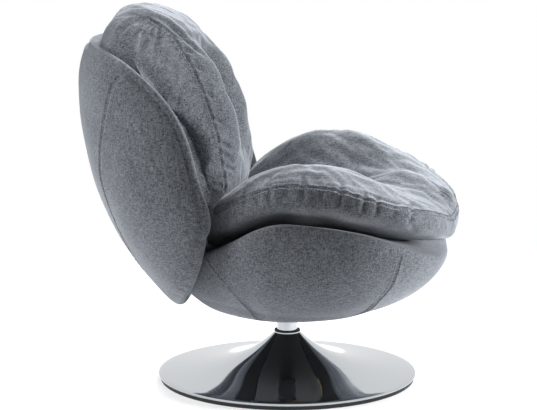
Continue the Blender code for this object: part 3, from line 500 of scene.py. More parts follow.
def hull_place(u, v, side):
    u, v = squared(u, v, HULL_FRONT_OUTLINE, HULL_REAR_OUTLINE)
    x = HULL_HALF_WIDTH * u
    y = (HULL_FRONT + HULL_REAR) / 2 + (HULL_REAR - HULL_FRONT) / 2 * v
    top = meet_height(x, y)
    edge = top - HULL_EDGE_DROP - HULL_EDGE_DROP_SIDE * np.abs(u)
    above = edge + (top - edge) * np.abs(side) ** HULL_TOP_POWER
    lower = edge - (edge - HULL_BOTTOM) * np.abs(side)
    outside = np.hypot(x, y) - MOUTH_RADIUS - HULL_FOOT_MARGIN
    below = lower - (lower - HULL_BOTTOM) * eased(1 - outside / HULL_FOOT_BLEND)
    return np.stack([x, y, np.where(side > 0, above, below)], axis=1)


def seat_place(u, v, side):
    u, v = squared(u, v, CUSHION_FRONT_OUTLINE, CUSHION_REAR_OUTLINE)
    x = CUSHION_HALF_WIDTH * u
    y = (CUSHION_FRONT + CUSHION_REAR) / 2 + (CUSHION_REAR - CUSHION_FRONT) / 2 * v
    front = eased((CROWN_START - y) / CROWN_LENGTH)
    lobe = np.exp(-(((np.abs(x) - LOBE_PLACE + LOBE_TURN_IN * front) / LOBE_WIDTH) ** 2))
    crown = np.exp(-((x / CROWN_WIDTH) ** 2)) * front
    thick = VALLEY_THICKNESS + LOBE_RISE * (1 - LOBE_FADE * front) * lobe + CROWN_RISE * crown
    bottom = meet_height(x, y) - SEAT_SINK
    equator = CUSHION_EQUATOR * thick
    above = bottom + equator + (thick - equator) * np.abs(side)
    nose = eased((CUSHION_NOSE_START - y) / CUSHION_NOSE_LENGTH)
    power = CUSHION_UNDER_POWER + (CUSHION_NOSE_POWER - CUSHION_UNDER_POWER) * nose
    below = bottom + equator - equator * np.abs(side) ** power
    return np.stack([x, y, np.where(side > 0, above, below)], axis=1)


def shell_spine(height):
    """How far back the shell's middle lies at a height above the swivel plate."""
    below = SHELL_REAR_HEIGHT - height
    low = np.maximum(below, 1e-6)
    outer = np.where(
        below > 0,
        SHELL_REAR - SHELL_CURVE * low**SHELL_CURVE_POWER,
        SHELL_REAR - SHELL_TOP_CURVE * below**2,
    )
    lean = np.where(
        below > 0,
        SHELL_CURVE * SHELL_CURVE_POWER * low ** (SHELL_CURVE_POWER - 1),
        2 * SHELL_TOP_CURVE * below,
    )
    middle = (SHELL_TOP + SHELL_FOOT) / 2
    ends = np.abs((height - middle) / (SHELL_TOP - middle))
    inset = SHELL_HALF_THICKNESS * np.maximum(1 - ends**SHELL_END_POWER, 0)
    return outer - inset * np.hypot(1, lean)


def shell_middle(u, v):
    """The back shell's middle surface, for (u, v) in the unit disc."""
    u, v = squared(u, v, SHELL_FOOT_OUTLINE, SHELL_TOP_OUTLINE)
    angle = math.radians(SHELL_HALF_ANGLE) * u
    height = (SHELL_TOP + SHELL_FOOT) / 2 + (SHELL_TOP - SHELL_FOOT) / 2 * v
    x = SHELL_HALF_WIDTH * np.sin(angle)
    y = shell_spine(height) - SHELL_WRAP * (1 - np.cos(angle))
    return np.stack([x, y, SWIVEL_TOP + height], axis=1)


def shell_place(u, v, side):
    step = 0.01
    across = shell_middle(u + step, v) - shell_middle(u - step, v)
    along = shell_middle(u, v + step) - shell_middle(u, v - step)
    out = np.cross(across, along)
    out /= np.linalg.norm(out, axis=1)[:, None]
    inset = LINING_EDGE - np.maximum(np.abs(u), np.abs(v))
    lining = LINING_RISE * eased(inset / LINING_FADE) * np.maximum(side, 0)
    return shell_middle(u, v) + out * (SHELL_HALF_THICKNESS * side + lining)[:, None]


def pillow_relief(u, v):
    """How far the back cushion's rolls and crown stand out, and its valley and sides lie back."""
    across = np.abs(PILLOW_HALF_WIDTH * u)
    growth = eased((v - PILLOW_ROLL_FOOT) / PILLOW_ROLL_GROWTH)
    growth *= eased((PILLOW_ROLL_HEAD - v) / PILLOW_ROLL_FADE)
    roll = PILLOW_ROLL_RISE * np.exp(-(((across - PILLOW_ROLL_PLACE) / PILLOW_ROLL_WIDTH) ** 2))
    valley = PILLOW_VALLEY_DEPTH * np.exp(-((across / PILLOW_VALLEY_WIDTH) ** 2))
    crown = PILLOW_CROWN_RISE * np.exp(-((across / PILLOW_CROWN_WIDTH) ** 2))
    crown *= eased((v - PILLOW_CROWN_FOOT) / PILLOW_CROWN_GROWTH)
    fall = PILLOW_SIDE_FALL * eased((across - PILLOW_SIDE_START) / PILLOW_SIDE_RUN)
    return growth * (roll - valley) + crown - fall


def pillow_place(u, v, side):
    u, v = squared(u, v, PILLOW_OUTLINE, PILLOW_OUTLINE)
    lean = math.radians(PILLOW_RECLINE)
    high = np.maximum(v, 0) ** 2
    rear = -PILLOW_REAR_DEPTH * (1 - PILLOW_REAR_TAPER * high) * np.abs(side) ** PILLOW_REAR_POWER
    depth = np.where(side < 0, rear, (PILLOW_FRONT_DEPTH + pillow_relief(u, v)) * side)
    rise = PILLOW_HALF_HEIGHT * v
    y = PILLOW_MIDDLE[0] + rise * math.sin(lean) - depth * math.cos(lean) + PILLOW_BEND * high
    z = SWIVEL_TOP + PILLOW_MIDDLE[1] + rise * math.cos(lean) + depth * math.sin(lean)
    return np.stack([PILLOW_HALF_WIDTH * u, y, z], axis=1)


# Filling, seams and folds


def soft_piece(name, place, form, counts):
    """A closed cover whose points keep their (u, v, side) as values on the mesh."""
    cube, faces = cube_skin(*counts)
    u, v, side = pad_points(cube, *form)
    mesh = mesh_from(name, place(u, v, side), faces)
    for label, values in (("across", u), ("along", v), ("side", side)):
        spot = mesh.attributes.new(label, "FLOAT", "POINT")
        spot.data.foreach_set("value", values.astype(np.float32))
    return link(name, mesh)


def refined(piece, times):
    """Divides each square of the cover into four, and smooths them, this many times."""
    modifier = piece.modifiers.new("refine", "SUBSURF")
    modifier.levels = times
    modifier.render_levels = times
    mesh = shown_mesh(piece)
    piece.modifiers.clear()
    mesh.name = piece.name
    piece.data = mesh
    mesh.shade_smooth()
    return piece


def filled(piece, held):
    """Fills the cover so that it swells between the points that the sewing holds."""
    before = read_points(piece.data)
    normals = read_points(piece.data, "normal")
    group = piece.vertex_groups.new(name="held")
    for level in (0.25, 0.5, 0.75, 1.0):
        chosen = np.flatnonzero((held > level - 0.25) & (held <= level))
        group.add(chosen.tolist(), level, "REPLACE")
    cloth = piece.modifiers.new("filling", "CLOTH")
    cloth.settings.quality = 5
    cloth.settings.mass = 0.25
    cloth.settings.tension_stiffness = 14
    cloth.settings.compression_stiffness = 14
    cloth.settings.shear_stiffness = 6
    cloth.settings.bending_stiffness = 0.6
    cloth.settings.shrink_min = -FILL_SLACK
    cloth.settings.vertex_group_mass = "held"
    cloth.settings.use_pressure = True
    cloth.settings.uniform_pressure_force = FILL_PRESSURE
    cloth.settings.effector_weights.gravity = 0
    cloth.collision_settings.use_collision = False
    cloth.point_cache.frame_start = 1
    cloth.point_cache.frame_end = FILL_FRAMES
    for number in range(1, FILL_FRAMES + 1):
        bpy.context.scene.frame_set(number)
    after = read_points(shown_mesh(piece))
    piece.modifiers.clear()
    piece.vertex_groups.clear()
    bpy.context.scene.frame_set(1)
    moved = after - before
    free = held < 0.5
    swelling = np.median(np.sum(moved * normals, axis=1)[free])
    moved -= normals * swelling * (1 - held)[:, None]
    length = np.maximum(np.linalg.norm(moved, axis=1), 1e-9)
    moved *= (np.minimum(length, FILL_REACH) / length)[:, None]
    write_points(piece.data, before + moved)


def surface_tree(piece):
    mesh = piece.data
    return BVHTree.FromPolygons([v.co for v in mesh.vertices], [p.vertices for p in mesh.polygons])


def traced(tree, pixels):
    """Where the photograph's pixels lie on a piece, as seen by the photograph's camera."""
    camera = bpy.context.scene.camera.matrix_world
    focal = LENS / FILM * PHOTO_WIDTH
    found = []
    for x, y in pixels:
        ray = Vector((x - PHOTO_WIDTH / 2, PHOTO_HEIGHT / 2 - y, -focal))
        hit = tree.ray_cast(camera.translation, (camera.to_3x3() @ ray).normalized())[0]
        if hit is not None:
            found.append(tuple(hit))
    return np.array(found)


def even_line(points, spacing=0.006):
    """A line through the points, cut into even lengths and rounded a little."""
    points = np.asarray(points, float)
    lengths = np.concatenate([[0], np.cumsum(np.linalg.norm(np.diff(points, axis=0), axis=1))])
    count = max(int(lengths[-1] / spacing), 2)
    spots = np.linspace(0, lengths[-1], count + 1)
    line = np.stack([np.interp(spots, lengths, points[:, axis]) for axis in range(3)], axis=1)
    for _ in range(3):
        line[1:-1] = (line[:-2] + 2 * line[1:-1] + line[2:]) / 4
    return line


def laid(tree, points):
    """An even line through the points, laid on the cover."""
    return np.array([tree.find_nearest(Vector(point))[0] for point in even_line(points)])


def mirrored(line):
    return np.asarray(line) * np.array([-1, 1, 1])


def both_sides(tree, lines):
    """Lines traced on the side that the photograph shows, and their mirror images."""
    found = [traced(tree, line) for line in lines]
    found = [line for line in found if len(line) > 1]
    return [laid(tree, line) for line in found + [mirrored(line) for line in found]]


def distance_to(points, line):
    """How far each point lies from a line, and how far along the line, 0 to 1, it lies."""
    nearest = np.full(len(points), 1e9)
    share = np.zeros(len(points))
    count = len(line) - 1
    for index in range(count):
        along = line[index + 1] - line[index]
        part = np.clip((points - line[index]) @ along / max(along @ along, 1e-12), 0, 1)
        away = np.linalg.norm(points - line[index] - part[:, None] * along, axis=1)
        closer = away < nearest
        nearest[closer] = away[closer]
        share[closer] = (index + part[closer]) / count
    return nearest, share


def pressed(piece, lines, depth, width, ridge=0.35, fading=True):
    """Presses a valley along each line, with soft ridges beside it."""
    mesh = piece.data
    points = read_points(mesh)
    normals = read_points(mesh, "normal")
    change = np.zeros(len(points))
    for line in lines:
        line = np.asarray(line)
        low = line.min(axis=0) - 4 * width
        high = line.max(axis=0) + 4 * width
        near = np.flatnonzero(((points > low) & (points < high)).all(axis=1))
        if not len(near):
            continue
        away, share = distance_to(points[near], line)
        shape = ridge * np.exp(-(((away - 2 * width) / width) ** 2)) - np.exp(-((away / width) ** 2))
        fade = np.sin(math.pi * np.clip(share, 0.02, 0.98)) ** 0.7 if fading else 1.0
        change[near] += shape * depth * fade
    write_points(mesh, points + normals * change[:, None])


def uneven(piece, size, height, seed):
    """Soft swells over a cover, with waves about as long as size."""
    chance = np.random.default_rng(seed)
    points = read_points(piece.data)
    normals = read_points(piece.data, "normal")
    swell = np.zeros(len(points))
    for _ in range(14):
        direction = chance.normal(size=3)
        direction /= np.linalg.norm(direction)
        wave = size * chance.uniform(0.7, 1.6)
        swell += np.sin(points @ direction * 2 * math.pi / wave + chance.uniform(0, 2 * math.pi))
    write_points(piece.data, points + normals * (swell * height / math.sqrt(7))[:, None])


def puckers(tree, line, count, reach, seed, lean=0.35):
    """Short creases across a seam, where the sewing gathers the cover."""
    chance = np.random.default_rng(seed)
    creases = []
    for _ in range(count):
        spot = chance.uniform(0.03, 0.97) * (len(line) - 1)
        index = min(int(spot), len(line) - 2)
        point = line[index] + (line[index + 1] - line[index]) * (spot - index)
        tangent = line[index + 1] - line[index]
        tangent /= np.linalg.norm(tangent)
        normal = np.array(tree.find_nearest(Vector(point))[1])
        across = np.cross(normal, tangent) + tangent * chance.uniform(-lean, lean)
        length = reach * chance.uniform(0.5, 1.2)
        start = -length * chance.uniform(0.1, 0.9)
        crease = []
        for share in (0, 0.33, 0.67, 1.0):
            place = point + across * (start + length * share)
            crease.append(np.array(tree.find_nearest(Vector(place))[0]))
        creases.append(np.array(crease))
    return creases


def stitching(name, tree, lines, offsets, finish):
    """Rows of thread beside seams, each stitch a short spindle that lies on the cover."""
    points, faces = [], []
    rings = ((-0.5, 0.25), (-0.32, 1.0), (0.32, 1.0), (0.5, 0.25))
    for line in lines:
        line = even_line(line, STITCH_PITCH)
        for offset in offsets:
            for start, end in zip(line, line[1:]):
                middle = (start + end) / 2
                along = (end - start) / np.linalg.norm(end - start)
                normal = tree.find_nearest(Vector(middle))[1]
                across = np.cross(np.array(normal), along)
                spot, normal, _, _ = tree.find_nearest(Vector(middle + across * offset))
                normal = np.array(normal)
                across = np.cross(normal, along)
                first = len(points)
                for shift, size in rings:
                    centre = np.array(spot) + along * shift * STITCH_LENGTH
                    for turn in range(STITCH_SIDES):
                        angle = turn * 2 * math.pi / STITCH_SIDES
                        out = across * math.cos(angle) + normal * math.sin(angle)
                        points.append(centre + out * STITCH_RADIUS * size)
                for low in range(first, first + (len(rings) - 1) * STITCH_SIDES, STITCH_SIDES):
                    for turn in range(STITCH_SIDES):
                        after = (turn + 1) % STITCH_SIDES
                        high = low + STITCH_SIDES
                        faces.append((low + turn, low + after, high + after, high + turn))
                last = first + (len(rings) - 1) * STITCH_SIDES
                faces.append(tuple(first + turn for turn in reversed(range(STITCH_SIDES))))
                faces.append(tuple(last + turn for turn in range(STITCH_SIDES)))
    mesh = bpy.data.meshes.new(name)
    mesh.from_pydata([tuple(point) for point in points], [], faces)
    mesh.shade_smooth()
    threads = link(name, mesh)
    mesh.materials.append(finish)
    return threads


def edge_line(place, form, angles, levels):
    """A line round a soft form, at a level of its edge for each angle in degrees."""
    angles = np.radians(angles)
    radius = (1 - np.abs(levels) ** form[1]) ** (1 / form[0])
    return place(radius * np.cos(angles), radius * np.sin(angles), levels)


# Materials


def linear_colour(value):
    """An sRGB hex colour as the linear colour that a shader takes."""
    channels = [int(value[spot : spot + 2], 16) / 255 for spot in (1, 3, 5)]
    changed = [c / 12.92 if c <= 0.04045 else ((c + 0.055) / 1.055) ** 2.4 for c in channels]
    return (*changed, 1.0)


def node(tree, kind, settings=None, links=None):
    """Adds a node, gives it its settings and joins its inputs to other nodes' outputs."""
    made = tree.nodes.new(kind)
    for name, value in (settings or {}).items():
        if isinstance(name, str) and hasattr(made, name):
            setattr(made, name, value)
        else:
            made.inputs[name].default_value = value
    for name, source in (links or {}).items():
        tree.links.new(source, made.inputs[name])
    return made


def new_material(name):
    made = bpy.data.materials.new(name)
    made.use_nodes = True
    made.node_tree.nodes.clear()
    return made, made.node_tree


def finish_material(made, tree, shader):
    node(tree, "ShaderNodeOutputMaterial", links={"Surface": shader.outputs[0]})
    return made


def grain(tree, sizes, detail=3.0, roughness=0.6):
    """A pattern whose grains have the given sizes along X, Y and Z, in metres."""
    place = node(tree, "ShaderNodeTexCoord")
    scale = tuple(1 / size for size in sizes)
    mapping = node(tree, "ShaderNodeMapping", {"Scale": scale}, {"Vector": place.outputs["Object"]})
    noise = node(
        tree,
        "ShaderNodeTexNoise",
        {"Scale": 1.0, "Detail": detail, "Roughness": roughness},
        {"Vector": mapping.outputs[0]},
    )
    return noise.outputs[0]


def painted(tree, pattern, low, high, dark, light):
    """The colour of a pattern, from dark where it is low to light where it is high."""
    tone = node(
        tree, "ShaderNodeMapRange", {"From Min": low, "From Max": high}, {"Value": pattern}
    )
    colours = {"data_type": "RGBA", 6: linear_colour(dark), 7: linear_colour(light)}
    return node(tree, "ShaderNodeMix", colours, {0: tone.outputs[0]}).outputs[2]


def chenille():
    """Polyester chenille, woven with short soft pile.

    It is matt and speckled by tufts that lie this way and that, with faint ribs up and across,
    and its pile shines a little where the cover turns away. Its tufts and ribs are about 1.5 mm
    apart, drawn at 2.6 and 2.3 mm so that they show from the photograph's distance.
    """
    made, tree = new_material("grey_chenille")
    tufts = grain(tree, (0.0026, 0.0026, 0.0026), 1.0, 0.5)
    warp = grain(tree, (0.0023, 0.0023, 0.011), 1.0, 0.5)
    weft = grain(tree, (0.009, 0.009, 0.0023), 1.0, 0.5)
    brushed = grain(tree, (0.05, 0.05, 0.06), 2.0, 0.5)
    ribs = node(
        tree, "ShaderNodeMix", {"data_type": "FLOAT", 0: 0.5}, {2: warp, 3: weft}
    ).outputs[0]
    weave = node(
        tree, "ShaderNodeMix", {"data_type": "FLOAT", 0: 0.6}, {2: tufts, 3: ribs}
    ).outputs[0]
    speckled = painted(tree, weave, 0.34, 0.66, "#383B40", "#8F949B")
    lie = painted(tree, brushed, 0.3, 0.7, "#EAEAEA", "#FFFFFF")
    colour = node(
        tree,
        "ShaderNodeMix",
        {"data_type": "RGBA", "blend_type": "MULTIPLY", 0: 1.0},
        {6: speckled, 7: lie},
    ).outputs[2]
    bump = node(
        tree, "ShaderNodeBump", {"Strength": 0.6, "Distance": 0.0016}, {"Height": weave}
    )
    shader = node(
        tree,
        "ShaderNodeBsdfPrincipled",
        {
            "Roughness": 0.92,
            "Specular IOR Level": 0.2,
            "Sheen Weight": 0.75,
            "Sheen Roughness": 0.42,
            "Sheen Tint": linear_colour("#DDE2EA"),
        },
        {"Base Color": colour, "Normal": bump.outputs[0]},
    )
    return finish_material(made, tree, shader)


def thread():
    """Spun polyester sewing thread: smoother than the pile, and darker, as it lies in its shade."""
    made, tree = new_material("grey_thread")
    twist = grain(tree, (0.0006, 0.0006, 0.0006), 1.0)
    colour = painted(tree, twist, 0.3, 0.7, "#2E3136", "#484C52")
    shader = node(tree, "ShaderNodeBsdfPrincipled", {"Roughness": 0.7}, {"Base Color": colour})
    return finish_material(made, tree, shader)


def chromium():
    """Chromium plate over polished steel: a mirror with the faintest haze from cleaning."""
    made, tree = new_material("chromium_plate")
    haze = grain(tree, (0.09, 0.09, 0.03), 4.0, 0.6)
    rough = node(
        tree,
        "ShaderNodeMapRange",
        {"From Min": 0.35, "From Max": 0.7, "To Min": 0.03, "To Max": 0.07},
        {"Value": haze},
    )
    shader = node(
        tree,
        "ShaderNodeBsdfPrincipled",
        {"Base Color": linear_colour("#BEC2C6"), "Metallic": 1.0},
        {"Roughness": rough.outputs[0]},
    )
    return finish_material(made, tree, shader)


def plain_solid(name, low, high, size, rough, metal=0.0, bump_height=0.0):
    """A solid whose tone and gloss vary over grains of one size."""
    made, tree = new_material(name)
    spots = grain(tree, size)
    gloss = node(
        tree,
        "ShaderNodeMapRange",
        {"From Min": 0.3, "From Max": 0.7, "To Min": rough[0], "To Max": rough[1]},
        {"Value": spots},
    )
    links = {
        "Base Color": painted(tree, spots, 0.3, 0.7, low, high),
        "Roughness": gloss.outputs[0],
    }
    if bump_height:
        bump = node(
            tree,
            "ShaderNodeBump",
            {"Strength": 0.4, "Distance": bump_height},
            {"Height": spots},
        )
        links["Normal"] = bump.outputs[0]
    shader = node(tree, "ShaderNodeBsdfPrincipled", {"Metallic": metal}, links)
    return finish_material(made, tree, shader)


def make_finishes():
    """What each material slot of the record is made of."""
    grit = 0.0015
    return {
        # Chromium-plated steel, buffed: a clear mirror.
        "chrome": chromium(),
        # Steel with a black polyester powder coat: satin, with an orange-peel skin of 1.5 mm.
        "black_steel": plain_solid(
            "black_powder_coat", "#17181A", "#1F2022", (grit, grit, grit), (0.38, 0.5), 0.0, 0.0001
        ),
        # Extruded EPDM rubber: matt black with a slight bloom.
        "black_rubber": plain_solid(
            "black_epdm", "#141516", "#1C1D1F", (0.01, 0.01, 0.004), (0.5, 0.65)
        ),
        # Closed-cell foam sheet: dead matt with cells of about 1 mm.
        "black_foam": plain_solid(
            "black_cell_foam", "#191A1C", "#26282A", (0.001, 0.001, 0.001), (0.85, 0.95), 0.0, 0.0003
        ),
        # Moulded nylon: off-white and slightly waxy.
        "white_nylon": plain_solid(
            "white_nylon", "#DEDCD4", "#E8E6DF", (0.008, 0.008, 0.008), (0.4, 0.5)
        ),
        # Zinc-plated steel: dull silver with a mottled passivated skin.
        "zinc_steel": plain_solid(
            "zinc_plate", "#9EA1A4", "#B6B9BB", (0.003, 0.003, 0.003), (0.28, 0.42), 1.0
        ),
        # Ground bearing steel: bright, with marks round the axis.
        "ground_steel": plain_solid(
            "ground_steel", "#B2B4B7", "#C3C5C8", (0.0012, 0.0012, 0.02), (0.15, 0.26), 1.0
        ),
        # Turned brass: warm and satin.
        "brass": plain_solid("brass", "#AE9150", "#C2A561", (0.002, 0.002, 0.008), (0.25, 0.36), 1.0),
        # Planed beech: pale brown with grain along the rail and flecks of about 2 mm.
        "beech": plain_solid(
            "beech", "#B99568", "#D2B487", (0.002, 0.05, 0.004), (0.5, 0.62), 0.0, 0.0002
        ),
        # Birch plywood: pale face veneer with grain along Y.
        "plywood": plain_solid(
            "birch_plywood", "#B0925F", "#CBB080", (0.003, 0.07, 0.0014), (0.55, 0.68), 0.0, 0.0002
        ),
        # Spun-bonded polypropylene: black felted cloth with pressed dots of about 1.5 mm.
        "black_nonwoven": plain_solid(
            "black_spunbond", "#131315", "#222225", (grit, grit, grit), (0.9, 0.98), 0.0, 0.0003
        ),
        "grey_chenille": chenille(),
    }


# The pieces


def make_base(finishes):
    """The trumpet, its rubber edging, the column and the ring at its neck, turned finely."""
    chrome = finishes["chrome"]
    rubber = finishes["black_rubber"]
    rim_top = RIM_LIFT + COVER_RIM_HEIGHT
    collar_foot = COVER_NECK_TOP - COVER_COLLAR
    reach = COVER_RADIUS - COVER_NECK_RADIUS
    flare = collar_foot - rim_top - COVER_EDGE_SLOPE * reach
    upper = [(COVER_NECK_RADIUS, COVER_NECK_TOP)]
    for share in np.linspace(0, 1, COVER_STEPS)[:-1]:
        radius = COVER_NECK_RADIUS + (reach - COVER_RIM_ROUND) * share**COVER_SPREAD
        left = COVER_RADIUS - radius
        height = rim_top + COVER_EDGE_SLOPE * left + flare * (left / reach) ** COVER_FLARE_POWER
        upper.append((radius, height))
    for turn in np.radians(np.linspace(*COVER_ROUND_TURNS)):
        radius = COVER_RADIUS - COVER_RIM_ROUND + COVER_RIM_ROUND * math.cos(turn)
        upper.append((radius, rim_top - COVER_RIM_ROUND + COVER_RIM_ROUND * math.sin(turn)))
    upper.append((COVER_RADIUS - COVER_LIP, RIM_LIFT))
    line = np.array(upper)
    ahead = np.gradient(line, axis=0)
    inward = np.stack([ahead[:, 1], -ahead[:, 0]], axis=1)
    inward /= np.linalg.norm(inward, axis=1)[:, None]
    inner = (line + inward * COVER_WALL)[::-1]
    cover = turned("trumpet_cover", [*map(tuple, line), *map(tuple, inner)], chrome)
    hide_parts("base_cover")
    edging = turned(
        "rim_edging",
        rounded_profile(
            [
                (PLATE_RADIUS + CLEAR, 0.0),
                (GASKET_RADIUS, 0.0),
                (GASKET_RADIUS, RIM_LIFT - CLEAR),
                (PLATE_RADIUS + CLEAR, RIM_LIFT - CLEAR),
            ],
            EDGING_ROUND,
        ),
        rubber,
    )
    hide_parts("rim_gasket")
    column = turned(
        "column_sleeve",
        rounded_profile(
            [
                (COLUMN_BORE, COLUMN_FOOT),
                (COLUMN_RADIUS, COLUMN_FOOT),
                (COLUMN_RADIUS, COLUMN_TOP),
                (COLUMN_BORE, COLUMN_TOP),
            ],
            COLUMN_ROUND,
        ),
        chrome,
    )
    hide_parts("column_tube")
    ring_foot = COVER_NECK_TOP + CLEAR
    ring = turned(
        "neck_seal",
        rounded_profile(
            [
                (COLUMN_RADIUS + CLEAR, ring_foot),
                (COVER_NECK_RADIUS, ring_foot),
                (COVER_NECK_RADIUS, ring_foot + NECK_RING_HEIGHT),
                (COLUMN_RADIUS + CLEAR, ring_foot + NECK_RING_HEIGHT),
            ],
            NECK_RING_ROUND,
        ),
        rubber,
    )
    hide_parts("neck_ring")
    slots = ((cover, "chrome"), (edging, "black_rubber"), (column, "chrome"), (ring, "black_rubber"))
    for piece, slot in slots:
        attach(piece, "base")


def dress(piece, cloth, node_name):
    piece.data.materials.clear()
    piece.data.materials.append(cloth)
    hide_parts(node_name)
    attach(piece, "seat")


def sew(name, piece, lines, offsets, finish):
    threads = stitching(name, surface_tree(piece), lines, offsets, finish)
    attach(threads, "seat")


def seat_seam_line():
    """The seam round the seat cushion's sides and front, the same on both sides."""
    angles = np.linspace(*SEAT_SEAM_ANGLES)
    turn = 270 - np.abs(angles - 270)
    knots = np.array(SEAT_SEAM)
    return edge_line(seat_place, CUSHION_FORM, angles, np.interp(turn, knots[:, 0], knots[:, 1]))


def seat_creases():
    """The two creases between the side lobes and the crown, on the cushion's top."""
    lines = []
    for way in (-1, 1):
        points = np.array(SEAT_CREASE, float)
        line = np.stack([points[:, 0] * way, points[:, 1], np.zeros(len(points))], axis=1)
        lines.append(even_line(line))
    return lines


def dropped(tree, line):
    """A line of (x, y) points let down onto the top of a cover."""
    found = []
    for x, y, _ in line:
        hit = tree.ray_cast(Vector((x, y, 1.0)), Vector((0, 0, -1)))[0]
        if hit is not None:
            found.append(tuple(hit))
    return np.array(found)


def make_seat_cushion(cloth, thread_finish):
    piece = soft_piece("seat_pad", seat_place, CUSHION_FORM, CUSHION_SQUARES)
    side = read_value(piece.data, "side")
    points = read_points(piece.data)
    seam = seat_seam_line()
    held = np.clip((HELD_LEVEL - side) * HELD_RISE, 0, 1)
    away, _ = distance_to(points, seam)
    held = np.maximum(held, np.exp(-((away / HELD_WIDTH) ** 2)))
    for crease in seat_creases():
        away, _ = distance_to(points * (1, 1, 0), crease)
        held = np.maximum(held, np.exp(-((away / HELD_WIDTH) ** 2)))
    filled(piece, held)
    refined(piece, 2)
    uneven(piece, *SEAT_SWELLS)
    tree = surface_tree(piece)
    seam = laid(tree, seam)
    pressed(piece, [dropped(tree, line) for line in seat_creases()], *SEAT_CREASE_PRESS)
    pressed(piece, [seam], *SEAT_SEAM_PRESS, fading=False)
    pressed(piece, both_sides(tree, SEAT_PLEATS), *SEAT_PLEAT_PRESS)
    pressed(piece, both_sides(tree, SEAT_FOLDS), *SEAT_FOLD_PRESS)
    pressed(piece, both_sides(tree, SEAT_PINCH), *SEAT_PINCH_PRESS)
    pressed(piece, puckers(tree, seam, *SEAT_PUCKERS), *SEAT_PUCKER_PRESS)
    sew("seat_pad_stitching", piece, [seam], (-STITCH_ROW_OFFSET, STITCH_ROW_OFFSET), thread_finish)
    dress(piece, cloth, "seat_cushion")


def make_back_cushion(cloth, thread_finish):
    piece = soft_piece("back_pad", pillow_place, PILLOW_FORM, PILLOW_SQUARES)
    side = read_value(piece.data, "side")
    points = read_points(piece.data)
    held = np.clip((HELD_LEVEL - side) * HELD_RISE, 0, 1)
    for line in both_sides(surface_tree(piece), [PILLOW_SEAM]):
        away, _ = distance_to(points, line)
        held = np.maximum(held, np.exp(-((away / HELD_WIDTH) ** 2)))
    filled(piece, held)
    refined(piece, 2)
    uneven(piece, *PILLOW_SWELLS)
    tree = surface_tree(piece)
    seams = both_sides(tree, [PILLOW_SEAM])
    pressed(piece, both_sides(tree, PILLOW_TUCK), *PILLOW_TUCK_PRESS)
    pressed(piece, both_sides(tree, PILLOW_HOLLOW), *PILLOW_HOLLOW_PRESS)
    pressed(piece, seams, *PILLOW_SEAM_PRESS, fading=False)
    pressed(piece, both_sides(tree, PILLOW_CROWN_CREASE), *PILLOW_CROWN_PRESS)
    pressed(piece, both_sides(tree, PILLOW_DRAPES), *PILLOW_DRAPE_PRESS)
    pressed(piece, both_sides(tree, PILLOW_GATHERS), *PILLOW_GATHER_PRESS)
    pressed(piece, both_sides(tree, PILLOW_DIMPLES), *PILLOW_DIMPLE_PRESS)
    for seam, placing in zip(seams, PILLOW_PUCKERS):
        pressed(piece, puckers(tree, seam, *placing), *PILLOW_PUCKER_PRESS)
    sew("back_pad_stitching", piece, seams, (-STITCH_ROW_OFFSET,), thread_finish)
    dress(piece, cloth, "back_cushion")


def make_back_shell(cloth, thread_finish):
    piece = soft_piece("back_petal", shell_place, SHELL_FORM, SHELL_SQUARES)
    refined(piece, 1)
    uneven(piece, *SHELL_SWELLS)
    tree = surface_tree(piece)
    angles = np.linspace(*SHELL_RIM_ANGLES)
    rim = edge_line(shell_place, SHELL_FORM, angles, np.full(len(angles), SHELL_RIM_LEVEL))
    rim = laid(tree, rim)
    spots = np.array(SHELL_PANEL_SEAM)
    panel = shell_place(spots[:, 0], spots[:, 1], np.full(len(spots), -1.0))
    panels = [laid(tree, line) for line in (panel, mirrored(panel))]
    pressed(piece, [rim], *SHELL_RIM_PRESS)
    pressed(piece, panels, *SHELL_SEAM_PRESS, fading=False)
    pressed(piece, both_sides(tree, SHELL_WRINKLES), *SHELL_WRINKLE_PRESS)
    pressed(piece, puckers(tree, rim, *SHELL_PUCKERS), *SHELL_PUCKER_PRESS)
    sew("back_petal_stitching", piece, panels, (-STITCH_ROW_OFFSET,), thread_finish)
    dress(piece, cloth, "back_shell")


def make_seat_shell(cloth, thread_finish):
    piece = soft_piece("seat_hull", hull_place, HULL_FORM, HULL_SQUARES)
    refined(piece, 1)
    uneven(piece, *HULL_SWELLS)
    tree = surface_tree(piece)
    seams = [HULL_REAR_SEAM, HULL_FRONT_SEAM]
    seams = [laid(tree, line) for line in seams + [mirrored(seam) for seam in seams]]
    pressed(piece, seams, *HULL_SEAM_PRESS, fading=False)
    points = read_points(piece.data)
    inside = MOUTH_RADIUS - np.hypot(points[:, 0], points[:, 1])
    under = points[:, 2] < MOUTH_TOP
    points[:, 2] += np.where(under, (MOUTH_TOP - points[:, 2]) * eased(inside / MOUTH_BLEND + 0.5), 0)
    write_points(piece.data, points)
    rows = (-STITCH_ROW_OFFSET, STITCH_ROW_OFFSET)
    sew("seat_hull_stitching", piece, seams, rows, thread_finish)
    dress(piece, cloth, "seat_shell")


# Camera, room and lamps


def make_camera():
    data = bpy.data.cameras.new("photo_camera")
    data.sensor_width = FILM
    data.lens = LENS
    camera = link("photo_camera", data)
    camera.location = CAMERA_PLACE
    camera.rotation_euler = (math.radians(90 - CAMERA_PITCH), 0, math.radians(CAMERA_HEADING))
    bpy.context.scene.camera = camera
    bpy.context.view_layer.update()


